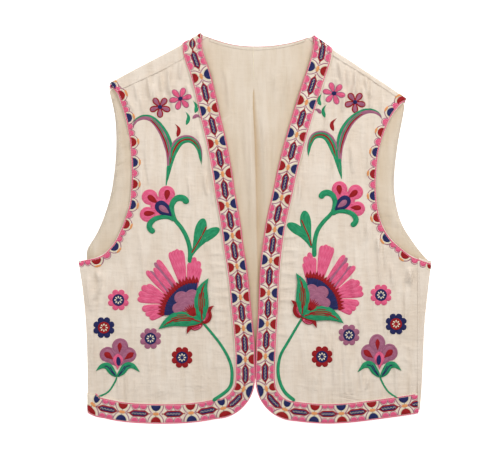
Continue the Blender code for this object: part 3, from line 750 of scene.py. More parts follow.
def tape_link(ground, gap, reach=15.6):
    """Long six-sided lens between two dots, with the two pairs of scallops beside it."""
    reach = min(reach, gap / 2 - 5.6)
    for half, inset, thread, height, lift in ((5.5, 0.0, "red", 0.6, 0.0), (3.5, 3.0, "navy", 0.5, 0.45)):
        long = 2 * (reach - inset)
        t = stations(long)
        s = (t - 0.5) * long
        w = np.minimum(half, np.minimum(t, 1 - t) * long * 0.85)
        left, right = np.stack([s, w], axis=1), np.stack([s, -w], axis=1)
        ground.sew(thread, left, right, height=height, lift=lift, threads_along=False)
    for i, spot in enumerate(np.linspace(-reach * 0.6, reach * 0.6, 9)):
        lean = 1.4 if i % 2 else -1.4
        ground.line("cream", np.array([(spot - 0.8, lean), (spot + 0.8, -lean)]), 0.62, lift=0.95, height=0.25)
    for turn in (1, -1):
        for w in (-1.3, 0, 1.3):
            ground.line("red", np.array([(turn * (reach - 0.4), w * 0.3), (turn * (reach + 2.0), w)]), 0.7, height=0.3)
    for flip in (1, -1):
        side = shifted(ground, 0, PATTERN_EDGE * flip, flipped=flip)
        for s in (-0.118 * gap, 0.118 * gap):
            scallop(shifted(side, s), 0.21 * gap, 0.142 * gap)


def scallop(ground, length, depth):
    """Pink scallop with its flat side at W 0 and a mauve arch round it."""
    t = stations(length, gap=1.5)
    bow = depth * half_round(t)
    s = (t - 0.5) * length
    ground.sew("pink", np.stack([s, 0 * s], axis=1), np.stack([s, -bow], axis=1), height=0.8, threads_along=False)
    arch = arc_points((0, 0), length / 2 + 0.7, 184, 356, squash=(depth + 1.3) / (length / 2 + 0.7))
    ground.line("mauve", arch, 0.95, height=0.4, lift=0.1)


def corded_edge(ground, length, w, width, bite):
    """Pink edging of short slanted stitches set side by side."""
    count = max(2, round(length / bite))
    step = length / count
    for i in range(count):
        s = (i + 0.5) * step
        ground.shape(
            "pink", np.array([(s - step * 0.56, w - 0.3), (s + step * 0.56, w + 0.3)]), width, "oval",
            height=0.85, threads_along=False,
        )


def sew_border(stitching, side):
    """The patterned border of one front, from the shoulder down and along the hem."""
    run = Run(border_outline(side), BORDER / 2, 1 if side == "left" else -1)
    ground = Ground(stitching, lambda points: run.place(points * TAPE_NARROWED + TAPE_OFF_MIDDLE))
    dots = [run.nearest(*dot) for dot in DOTS[side]]
    for i, s in enumerate(dots):
        at_end = side == "left" and i == len(dots) - 1
        colours = ("navy", "red") if i % 2 == 0 else ("red", "navy")
        tape_dot(shifted(ground, s), *colours, turns=(-1,) if at_end else (1, -1))
    for a, b in zip([dots[0] - 51] + dots, dots):
        tape_link(shifted(ground, (a + b) / 2), b - a)
    if side == "right":
        tape_link(shifted(ground, dots[-1] + 22), 44)
    over_fold = shifted(ground, run.nearest(*FOLD_LENS[side]))
    tape_link(over_fold, 42, reach=9.4)
    half_moon(shifted(over_fold, -13.4, 12.4), "red", length=8, depth=5)
    past = 9 if side == "left" else 0
    for w in (14.5, -14.5):
        corded_edge(ground, run.length + past, w, 1.9, bite=3.4)


def sew_armhole(stitching, side):
    """The narrower pattern round one armhole."""
    run = Run(ARMHOLES[side], 0, -1 if side == "left" else 1)
    ground = Ground(stitching, run.place)
    corded_edge(ground, run.length, -1.2, EDGING, bite=3.6)
    spots = [run.nearest(*moon) for moon in ARMHOLE_MOONS[side]]
    colours = ("navy", "red") if side == "left" else ("red", "navy")
    for i, s in enumerate(spots):
        moon = shifted(ground, s, ARMHOLE_FLAT)
        half_moon(moon, colours[i % 2], length=13.4, depth=7.6)
        moon.line("mauve", arc_points((0, 0), 9.8, 182, 358, squash=1.1), 1.1)
        moon.shape("peach", np.array([(-4.2, -10.0), (4.2, -10.0)]), 3.6, "oval", height=0.7, lift=0.3)
    for a, b in zip(spots, spots[1:]):
        if b - a > 33.5:
            scallop(shifted(ground, (a + b) / 2 - 4.9, ARMHOLE_FLAT), 8.6, 5.8)
            scallop(shifted(ground, (a + b) / 2 + 4.9, ARMHOLE_FLAT), 8.6, 5.8)
        else:
            scallop(shifted(ground, (a + b) / 2, ARMHOLE_FLAT), 10.2, 6.4)
    for past in (12.5, 22.5) if side == "left" else (15.5,):
        scallop(shifted(ground, spots[-1] + past, ARMHOLE_FLAT), 8.8, 5.8)


def sew_neck(stitching):
    """The same border round the outside of the back neck, which lies underneath."""
    run = Run([(-80, 287), *BACK_NECK, (88, 285)], BORDER / 2, 1)
    ground = Ground(stitching, lambda points: run.place(points * TAPE_NARROWED))
    for i, step in enumerate((-1.5, -0.5, 0.5, 1.5)):
        colours = ("navy", "red") if i % 2 == 0 else ("red", "navy")
        tape_dot(shifted(ground, run.length / 2 + NECK_REPEAT * step), *colours)
    for step in (-2, -1, 0, 1, 2):
        tape_link(shifted(ground, run.length / 2 + NECK_REPEAT * step), NECK_REPEAT)
    for w in (13.6, -14.4):
        corded_edge(shifted(ground, -12), run.length + 24, w, 1.9, bite=3.4)


# ---- Flowers and leaves ------------------------------------------------------------------


def daisy(ground, radius, petals, colour, edge, turn, edge_width):
    """Small flower of corded petals about a navy dot."""
    for i in range(petals):
        angle = turn + 360 / petals * i
        ground.petal(
            colour, polar(angle, radius * 0.12), polar(angle, radius - edge_width / 2), radius * 0.43, "daisy",
            edge=edge, edge_width=edge_width, height=1.0,
        )
    ground.disc("navy", (0, 0), radius * 0.2, height=0.9, lift=0.7)


def floret(ground, radius, petal_colour, middle_colour):
    """Eight round petals about a dark middle with cream wedges."""
    ground.disc(petal_colour, (0, 0), radius * 0.75, height=0.9)
    for i in range(8):
        angle = 22.5 + 45 * i
        ground.petal(petal_colour, polar(angle, radius * 0.4), polar(angle, radius), radius * 0.62, "lobe", height=1.2)
    ground.disc(middle_colour, (0, 0), radius * 0.54, height=0.7, lift=0.7)
    ground.ring(middle_colour, (0, 0), radius * 0.47, radius * 0.15, height=0.5, lift=1.2)
    for i in range(8):
        angle = 45 * i
        inner, outer = polar(angle, radius * 0.11), polar(angle, radius * 0.38)
        ground.petal("cream", inner, outer, radius * 0.17, "drop", lift=1.25, height=0.4)


def stem(ground, points, start, end):
    """A corded stem that goes from one width to another."""
    spine = curve(points, gap=1.2)
    length = length_of(spine)
    t = stations(length, gap=1.8)
    half = lerp(start, end, t) / 2 * np.sqrt(np.clip(np.minimum(t, 1 - t) * length / 2.5, 0, 1))
    left, right = edges_of(along_line(spine, t), half, half)
    ground.sew("green", left, right, height=1.0)


def striped_blade(ground, points, width, bands, side):
    """A long curved leaf in bands: thread, inner and outer edge, height, and where it starts and ends."""
    spine = curve(points, gap=1.2)
    length = length_of(spine)
    for thread, inner, outer, start, end, lift in bands:
        t = lerp(start, end, stations(length * (end - start)))
        middle = along_line(spine, t)
        half = width / 2 * np.minimum(np.clip(t / 0.42, 0, 1) ** 0.9, np.clip((1 - t) / 0.5, 0, 1) ** 0.6)
        fade = np.minimum(1, np.minimum(t - start, end - t) / 0.08)
        centre, reach = (inner + outer) / 2, (outer - inner) / 2 * fade
        low, _ = edges_of(middle, half * side * (centre - reach), half)
        high, _ = edges_of(middle, half * side * (centre + reach), half)
        ground.sew(thread, high, low, height=0.7, lift=lift)


# Blades by side of the garment: points in the photograph's pixels from the root, and their bands
LONG_BANDS = [
    ("mauve", -1.0, 1.0, 0, 1, 0), ("green", 0.3, 1.06, 0, 0.97, 0.3), ("green", -0.2, 0.14, 0, 0.8, 0.3),
    ("red", -0.62, -0.2, 0.2, 0.8, 0.3),
]
SHORT_BANDS = [
    ("green", -1.0, 1.0, 0, 1, 0), ("mauve", 0.55, 1.06, 0.2, 0.97, 0.3), ("red", -0.3, 0.18, 0.2, 0.88, 0.3),
]
BLADES = {
    "left": [
        [
            (-0.4, 1), (1.6, -11), (3.2, -25), (2.0, -38), (-2.2, -50), (-9, -60.5), (-16, -66.5), (-24, -67.5),
            (-31, -63.5), (-34, -55),
        ],
        [
            (-0.2, 1), (1.8, -11), (4.6, -26), (8.0, -36), (13.5, -43.5), (21.6, -46), (28.6, -42.5), (33.2, -34),
            (35.1, -19),
        ],
    ],
    "right": [
        [
            (0, 1), (1.8, -14), (1.8, -30), (-1.6, -44), (-7.4, -54.5), (-15, -62), (-23, -66.3), (-31, -66.8),
            (-37.5, -63.6), (-41.2, -57),
        ],
        [
            (0.4, 1), (3.6, -14), (6.2, -24), (9.8, -34.5), (15, -41.5), (22, -43.5), (28.6, -40.5), (32.4, -31),
            (33.2, -20.4),
        ],
    ],
}


def spray_of_blades(ground, rows):
    for points, bands, side in zip(rows, (LONG_BANDS, SHORT_BANDS), (-1, 1)):
        striped_blade(ground, [px_down(*spot) for spot in points], 13.2, bands, side)
    foot = [px_down(*rows[0][0]), px_down(0.9, -10), px_down(1.9, -20)]
    stem(ground, foot, 1.8, 4.6)


def mid_flower(ground):
    """Three round pink lobes and a navy cup, held in hooked green sepals."""
    ground.disc("pink", px_down(-5, -3.6), 8.4 * PHOTO_MM, height=1.0)
    for x, y, radius in ((3.0, -14.6, 8.2), (-14.0, -11.4, 7.9), (-16.2, 6.0, 7.7)):
        ground.disc("pink", px_down(x, y), radius * PHOTO_MM, height=1.1, lift=0.1)
        ground.petal("pink", px_down(1, 1), px_down(x, y), 19, "lobe", height=1.0, lift=0.05)
    for start, tip, width in (
        ((2.6, -8.4), (4.0, -18.8), 9.8), ((-6.4, -5.6), (-15.8, -12.8), 9.8), ((-8.4, 4.6), (-19.8, 5.2), 9.0),
    ):
        ground.petal("red", px_down(*start), px_down(*tip), width, "cup", height=0.7, lift=1.0)
    ground.petal("navy", px_down(8.4, 7.6), px_down(-7.4, -5.8), 20.0, "cup", height=1.0, lift=1.0)
    ground.petal("mauve", px_down(5.4, 4.8), px_down(-4.4, -2.6), 9.2, "cup", height=0.6, lift=1.9)
    for points, width in (
        ([(11.8, 13), (8.7, 4.2), (8.0, -3.0), (11.0, -8.6), (16.3, -10.8), (21.2, -9.0), (23.2, -4.6)], 9.6),
        ([(11.6, 12.4), (4.6, 8.8), (-3.7, 8.8), (-10.3, 11.2), (-14.1, 16.1), (-13.4, 20.7), (-9.1, 23.8)], 8.6),
    ):
        ground.shape("green", spine_down(points), width, "sepal", height=1.1, lift=0.7)


# The large bloom's petals: foot and tip in pixels from the base, width in mm, share of it at the foot, thread
BLOOM_PETALS = [
    (-20.5, -28.0, -39.5, -52.0, 7.0, 0.9, "mauve"), (-26.5, -22.0, -44.0, -43.5, 7.0, 0.9, "mauve"),
    (-23.5, -24.5, -36.0, -39.5, 7.5, 1.0, "mauve"),
    (-12.6, -34.0, -20.6, -64.0, 11.0, 0.72, "pink"), (-14.5, -34.0, -24.0, -62.5, 9.0, 0.6, "pink"),
    (-10.6, -35.0, -13.6, -64.5, 10.5, 0.6, "pink"), (-13.0, -34.0, -17.4, -65.5, 9.5, 0.72, "pink"),
    (-5.6, -35.0, 0.6, -57.5, 8.5, 0.9, "pink"), (-5.0, -34.0, -4.6, -52.0, 8.0, 1.0, "pink"),
    (-1.6, -33.0, 4.8, -53.5, 9.5, 0.85, "pink"), (0.8, -32.0, 5.6, -47.0, 9.0, 0.9, "pink"),
    (-18.4, -31.0, -36.8, -54.6, 8.4, 0.45, "pink"), (-23.0, -27.0, -40.2, -46.6, 8.0, 0.4, "pink"),
    (-25.6, -23.6, -38.5, -43.0, 6.6, 0.5, "pink"), (-29.2, -20.6, -47.4, -43.6, 8.6, 0.45, "pink"),
    (-31.0, -18.4, -52.5, -27.6, 11.0, 0.45, "pink"), (-32.0, -16.4, -55.5, -21.4, 11.0, 0.45, "pink"),
    (-32.6, -14.2, -56.6, -15.6, 10.0, 0.5, "pink"), (-31.6, -19.6, -47.0, -29.5, 9.0, 0.5, "pink"),
    (-32.8, -10.4, -52.0, -5.4, 10.6, 0.55, "pink"), (-32.4, -6.8, -48.6, -0.2, 10.0, 0.6, "pink"),
    (-31.4, -3.6, -44.4, 3.8, 10.0, 0.7, "pink"),
]
BLOOM_LOBES = [(-12.2, -16.8, 7.5), (-1.9, -19.2, 6.8), (-15.6, -6.2, 6.1), (-6.8, -10.0, 9.4)]

# Each leaf and bud of the bloom: points of its rib in pixels, and its width in mm
BLOOM_LEAVES = [
    ([(8.4, 6.6), (7.0, -6), (7.2, -17), (9.4, -27.6), (14.6, -36.6)], 23.0),
    ([(7.4, 7.4), (-5, 4.2), (-17, 4.4), (-27, 8.4), (-35.6, 14.6)], 23.5),
]
BLOOM_BUDS = [
    ([(9.0, 8.6), (13.6, 2.8), (14.6, -4.6), (19.8, -9.0)], 12.0),
    ([(8.4, 8.8), (1.4, 12.4), (-4.0, 12.6), (-7.2, 19.4)], 10.5),
]

# Red veins of those leaves: share of the width aside, start and end, and thickness in mm
BLOOM_VEINS = [
    (0, 0.03, 0.78, 2.0), (0.13, 0.22, 0.62, 1.5), (-0.12, 0.16, 0.66, 1.5), (0.05, 0.5, 0.86, 1.1),
    (-0.24, 0.32, 0.52, 1.2),
]


def on_ring(degrees, reach):
    """Place on the bloom's rings, which are a little flattened towards the lower petals."""
    return polar(degrees, reach * PHOTO_MM * (1 - 0.055 * smooth_step((degrees - 98) / 40)))


def bloom(ground):
    """The large open flower, its petals fanned from one side of the base."""
    for i, (foot_x, foot_y, tip_x, tip_y, width, foot, thread) in enumerate(BLOOM_PETALS):
        spine = bowed(px_down(foot_x * 0.84, foot_y * 0.84), px_down(tip_x, tip_y), 0)
        t = stations(np.hypot(*(spine[-1] - spine[0])))
        half = round_tipped(t, foot, 0.75, 0.86, 40) * width / 2
        left, right = edges_of(along_line(spine, t), half, half)
        ground.sew(thread, left, right, height=1.2 if thread == "pink" else 0.7, lift=0.06 * (i % 4))
    ring_angles = np.linspace(84, 181, 34)
    ground.line("red", np.array([on_ring(a, 33.2) for a in ring_angles]), 5.2, height=0.7, lift=1.35)
    for i in range(18):
        angle = 85.5 + 93 * i / 17
        tip = on_ring(angle, 39.6 if i % 2 else 38.4)
        ground.petal("red", on_ring(angle, 32), tip, 8.0, "spike", height=0.7, lift=1.5)
    outer, inner = (np.array([on_ring(a, reach) for a in ring_angles]) for reach in (32.4, 17))
    ground.sew("navy", inner, outer, height=0.9, lift=1.5, threads_along=False)
    for i in range(19):
        angle = 87 + 92 * i / 18
        ground.petal("red", on_ring(angle, 33.8), on_ring(angle, 30.6), 4.8, "spike", lift=2.3, height=0.4)
    for i, (dx, dy, radius) in enumerate(BLOOM_LOBES):
        centre = px_down(dx, dy)
        ground.disc("mauve", centre, radius * PHOTO_MM, height=1.0, lift=2.0 + 0.08 * i)
        if i < 3:
            ground.line("mauve", arc_points(centre, radius * PHOTO_MM * 0.68, 60, 300), 0.8, lift=2.9, height=0.25)
    for i, angle in enumerate((84, 95, 106, 117, 128, 139, 150, 161, 172, 183)):
        reach = (12.4, 14.4, 13.4, 15.0, 13.8, 15.0, 13.4, 14.2, 12.8, 12.0)[i]
        ground.petal("red", px_down(1, 2), polar(angle, reach * PHOTO_MM), 4.4, "spear", height=1.0, lift=2.8)
    for points, width in BLOOM_LEAVES:
        spine = spine_down(points)
        ground.shape("green", spine, width, "bract", height=1.3, lift=2.6)
        for aside, start, end, thick in BLOOM_VEINS:
            ground.line("red", beside(spine, start, end, 14, width * aside), thick, lift=4.0, height=0.35)
    for points, width in BLOOM_BUDS:
        spine = spine_down(points)
        ground.shape("red", spine, width, "bud", height=1.2, lift=1.6)
        inner, _ = edges_of(spine, np.full(len(spine), width * 0.16), np.zeros(len(spine)))
        ground.shape("pink", along_line(inner, np.linspace(0.08, 0.62, 14)), width * 0.5, "oval", lift=2.4, height=0.6)
        for aside in (-0.1, 0.06, 0.2):
            line, _ = edges_of(spine, np.full(len(spine), width * aside), np.zeros(len(spine)))
            ground.line("red", along_line(line, np.linspace(0.18, 0.66, 10)), 0.9, lift=3.05, height=0.3)


def bottom_flower(ground):
    """Three round mauve lobes with a pink heart above two winged leaves."""
    for x, y, radius in ((-9.6, -20.4, 8.0), (11.0, -20.0, 8.0), (2.8, -28.8, 8.0)):
        ground.disc("mauve", px_down(x, y), radius * PHOTO_MM, height=1.0, lift=0.1 if y < -25 else 0)
        ground.petal("mauve", px_down(0, -9), px_down(x, y), 15, "lobe", height=0.8)
        ground.line("mauve", arc_points(px_down(x, y), radius * PHOTO_MM * 0.8, -60, 240), 0.7, lift=0.95, height=0.25)
    for start, tip, width in (
        ((-3.4, -15), (-12.6, -22.6), 9.0), ((2.2, -21.5), (2.6, -32.4), 7.2), ((6.2, -15), (16.4, -22.2), 8.8),
    ):
        ground.petal("red", px_down(*start), px_down(*tip), width, "drop", height=0.7, lift=1.0)
    ground.petal("pink", px_down(0.2, -4.6), px_down(0.8, -21.2), 15.4, "drop", height=1.0, lift=1.2)
    ground.petal("navy", px_down(1.4, -9.2), px_down(1.0, -18.2), 7.2, "oval", height=0.6, lift=2.1)
    for sign, points in (
        (-1, [(-0.4, 2), (-5.6, -3.0), (-9.6, -8.4), (-15, -8.6), (-21.4, -4.0)]),
        (1, [(-0.2, 2), (5.6, -3.6), (9.6, -8.6), (15.6, -8.4), (22.6, -2.6)]),
    ):
        spine = spine_down(points)
        ground.shape("green", spine, 11.0, "bract", lean=0.12 * sign, height=1.1, lift=0.8)
        for aside, start, end in ((0.0, 0.06, 0.62), (0.2 * sign, 0.1, 0.46)):
            ground.line("navy", beside(spine, start, end, 12, 11 * aside), 1.7, lift=1.8, height=0.35)


# Where each flower stands, in the photograph's pixels, and how wide and tall the three large ones are
FLOWERS = {
    "left": {
        "daisy": (180.5, 98.7), "small_daisy": (160, 107), "blades": (166.4, 185), "mid": (163.7, 208.5),
        "bloom": (194, 314.6), "bottom": (117.3, 374.9),
        "sizes": {"mid": (1, 1), "bloom": (1, 1), "bottom": (1, 1)},
        "drops": [
            ("green", [(192.7, 100.3), (196.6, 106.4), (195, 113)], 6.6),
            ("green", [(185, 111), (188.6, 117), (186.2, 125)], 5.8),
            ("mauve", [(201.6, 118.6), (197, 115.6), (192.4, 118.4)], 6.0),
            ("red", [(174.6, 123.4), (178.8, 129), (177.2, 137)], 6.4),
        ],
        "stems": [
            ([(173.6, 216.6), (175.4, 220.4), (181.7, 228.3), (187, 238.3), (190, 250), (189.8, 263)], 6.0, 7.2),
            ([(201.8, 321.4), (219.5, 343), (229.6, 361), (232, 376), (228.6, 389), (212.6, 401)], 3.6, 5.6),
            ([(117, 376.8), (114.4, 383), (108, 392), (97.6, 397)], 2.8, 2.6),
        ],
        "leaves": [((191.4, 256), (203.6, 218.4), 17.4, -0.02), ((191.4, 256.4), (219.4, 228.4), 16.0, 0.1)],
        "rib": [(191.6, 253), (197.4, 243.5), (202, 235.5), (206.6, 226.4)],
        "florets": [
            ((118.4, 300), "pink", "navy"), ((104, 327.6), "navy", "red"),
            ((150.5, 338.6), "mauve", "navy"), ((182, 357.5), "red", "navy"),
        ],
    },
    "right": {
        "daisy": (334, 93.4), "small_daisy": (355, 102.2), "blades": (341.6, 178), "mid": (342.5, 203),
        "bloom": (309.8, 309.0), "bottom": (380, 375.2),
        "sizes": {"mid": (0.94, 0.96), "bloom": (0.95, 0.985), "bottom": (1.0, 1.12)},
        "drops": [
            ("green", [(322, 93.2), (318.6, 99.6), (321, 105.4)], 6.2),
            ("green", [(326.8, 104.2), (323, 110), (325, 117.8)], 5.4),
            ("mauve", [(313.8, 109.4), (318, 109.8), (321, 113.6)], 6.0),
            ("red", [(337.2, 117.8), (331.8, 123.5), (333.6, 131)], 6.4),
        ],
        "stems": [
            ([(332.6, 211.4), (330.2, 215), (323.4, 222), (317.4, 231), (314.6, 243), (314.4, 257)], 6.0, 7.2),
            ([(303, 316.6), (288.6, 341), (280, 357), (278.4, 375), (284, 391), (295, 401)], 3.6, 5.6),
            ([(380, 376.8), (382.6, 383), (388.6, 392), (397.7, 398)], 2.8, 2.6),
        ],
        "leaves": [((312.2, 248), (304.4, 210.6), 17.0, 0.04), ((311.6, 248.4), (287.4, 223.6), 15.0, -0.1)],
        "rib": [(311.4, 246), (309, 237), (305.4, 229), (301.4, 219.6)],
        "florets": [
            ((381, 295), "pink", "navy"), ((396, 324), "navy", "red"),
            ((349, 335), "mauve", "navy"), ((322, 356.7), "red", "navy"),
        ],
    },
}


def sew_flowers(stitching, side):
    """All the flowers, stems and leaves of one front."""
    plan = FLOWERS[side]
    mirrored = side == "right"
    cloth = Ground(stitching, lambda points: points)
    for points, start, end in plan["stems"]:
        stem(cloth, all_on_garment(points), start, end)
    for base, tip, width, bend in plan["leaves"]:
        cloth.petal("green", on_garment(*base), on_garment(*tip), width, "paddle", bend=bend, height=1.1)
    rib = np.array(all_on_garment(plan["rib"]))
    cloth.line("red", rib, 2.2, smooth=True, lift=0.9, height=0.4)
    for colour, points, width in plan["drops"]:
        spine = curve(all_on_garment(points), gap=1.2)
        cloth.shape(colour, spine, width, "drop", height=0.9)
    for spot, petals, middle in plan["florets"]:
        floret(motif_ground(stitching, *spot), 10.9 * PHOTO_MM, petals, middle)
    daisy(motif_ground(stitching, *plan["daisy"], mirrored), 17.2, 6, "pink", "mauve", 12, 1.5)
    small = motif_ground(stitching, *plan["small_daisy"], mirrored)
    daisy(small, 16.2, 5, "mauve", "red", 126 if mirrored else 54, 2.8)
    spray_of_blades(motif_ground(stitching, *plan["blades"], mirrored), BLADES[side])
    for flower, name in ((mid_flower, "mid"), (bloom, "bloom"), (bottom_flower, "bottom")):
        flower(motif_ground(stitching, *plan[name], mirrored, *plan["sizes"][name]))


# ---- Seams and hems ----------------------------------------------------------------------

BACK_NECK = [(-70, 283.6), (-50, 276.4), (-26, 270.9), (2.5, 269.3), (31, 270.9), (59, 276.1), (77, 282.2)]

# Back armhole edges from the shoulder down
BACK_ARMHOLES = {
    "left": [
        (-209.5, 179), (-206.5, 162), (-205, 132), (-206, 103), (-208, 83), (-210.5, 63), (-215, 43), (-222.5, 19),
        (-230.5, -1), (-237, -14), (-251, -34),
    ],
    "right": [
        (222, 179), (219, 162), (213, 132), (209, 103), (207, 83), (206, 63), (208, 43), (213, 19), (221, -1),
        (230, -14), (244, -34),
    ],
}

# Seams sewn down with a close line of thread, in the photograph's pixels
SEAM_LINES = [
    [(189.4, 52.6), (201.4, 48.6)],
    [(321, 47.2), (333.5, 54.6)],
    [(253, 46.6), (253.4, 62), (253.8, 80)],
]

# Seams that show as a soft lap of the cloth, and the width of each lap in mm
LAPS = [
    ([(121.4, 88.2), (140, 79.8), (152, 74.2), (166.3, 67.2), (183.5, 57.8)], 3.0),
    ([(332.8, 54.8), (347.5, 64.2), (362.5, 73.3), (378.8, 84.2), (398.5, 97.2)], 3.0),
    ([(418.4, 261), (418.5, 310), (418.5, 360), (418.3, 407)], 3.2),
]
FACING_EDGE = [(209, 40.6), (222, 44.9), (238, 48.4), (256, 49.7), (276, 48.3), (292, 44.8), (305, 40.4)]
DASHED_LINES = [
    [(418, 270), (419.4, 310), (419, 350), (417.6, 392)],
    [(209.5, 40.6), (222, 44.6), (238, 48.2), (256, 49.4), (276, 48), (292, 44.4), (304, 40)],
]


def dashes(ground, points, width=0.7, long=2.6, gap=1.5):
    """A row of running stitches in the sewing thread."""
    spine = curve(points, gap=1.0)
    length = length_of(spine)
    count = int(length / (long + gap))
    for i in range(count):
        start = i * (long + gap)
        ends = along_line(spine, np.array([start, start + long]) / length)
        ground.line("cream", ends, width, height=0.25, lift=0.1)


def sew_seams(stitching):
    """Stitched lines, laps over the seams, running stitches and the edges that show on the back."""
    cloth = Ground(stitching, lambda points: points)
    for points in SEAM_LINES:
        cloth.line("cream", all_on_garment(points), 1.0, smooth=True, height=0.25, lift=0.05)
    for points, width in LAPS:
        cloth.line("lap", all_on_garment(points), width, smooth=True, height=0.4, lift=0.3)
    cloth.line("facing_lap", all_on_garment(FACING_EDGE), 2.2, smooth=True, height=0.3, lift=0.1)
    for points in DASHED_LINES:
        dashes(cloth, all_on_garment(points))
    for side, outline in BACK_ARMHOLES.items():
        hem = Run(outline, 4.5, -1 if side == "left" else 1)
        dashes(Ground(stitching, hem.place), [(s, 0) for s in np.linspace(2, hem.length - 2, 40)])
    # The armhole border goes on past the right side seam on to the back
    wrap = Run(all_on_garment([(418.3, 259), (421.4, 260.4), (424.8, 261.6), (431.6, 263.4)]), 0, 1)
    past_seam = Ground(stitching, wrap.place)
    corded_edge(past_seam, wrap.length, -1.2, EDGING, bite=3.6)
    scallop(shifted(past_seam, 8.8, ARMHOLE_FLAT), 8.8, 5.8)
    half_moon(shifted(past_seam, 19.8, ARMHOLE_FLAT), "red", length=10, depth=6.4)
    neck = Run(BACK_NECK, 0, 1)
    corded_edge(Ground(stitching, neck.place), neck.length, -0.5, 0.7, bite=3.2)


# ---- Materials ---------------------------------------------------------------------------


def linear(hex_colour):
    values = [int(hex_colour[i : i + 2], 16) / 255 for i in (1, 3, 5)]
    return tuple(v / 12.92 if v <= 0.04045 else ((v + 0.055) / 1.055) ** 2.4 for v in values) + (1.0,)


def new_material(name):
    material = bpy.data.materials.new(name)
    material.use_nodes = True
    material.node_tree.nodes.clear()
    return material, material.node_tree


def add(tree, kind, inputs=None, **settings):
    """A node with its settings, and its inputs set or linked."""
    made = tree.nodes.new("ShaderNode" + kind)
    for name, value in settings.items():
        setattr(made, name, value)
    for name, value in (inputs or {}).items():
        if isinstance(value, bpy.types.NodeSocket):
            tree.links.new(value, made.inputs[name])
        else:
            made.inputs[name].default_value = value
    return made


def wave_scale(period):
    """Wave texture's scale for bands this many millimetres apart."""
    return 0.314 / period


def mixed(tree, share, a, b, how="MIX"):
    """Colour mix: sockets 6 and 7 are the two colours of a Mix node."""
    return add(tree, "Mix", {0: share, 6: a, 7: b}, data_type="RGBA", blend_type=how).outputs[2]


# Colour of the painted shade in the fold of the centre back pleat
PLEAT_PAINTED_SHADE = "#BC9C70"


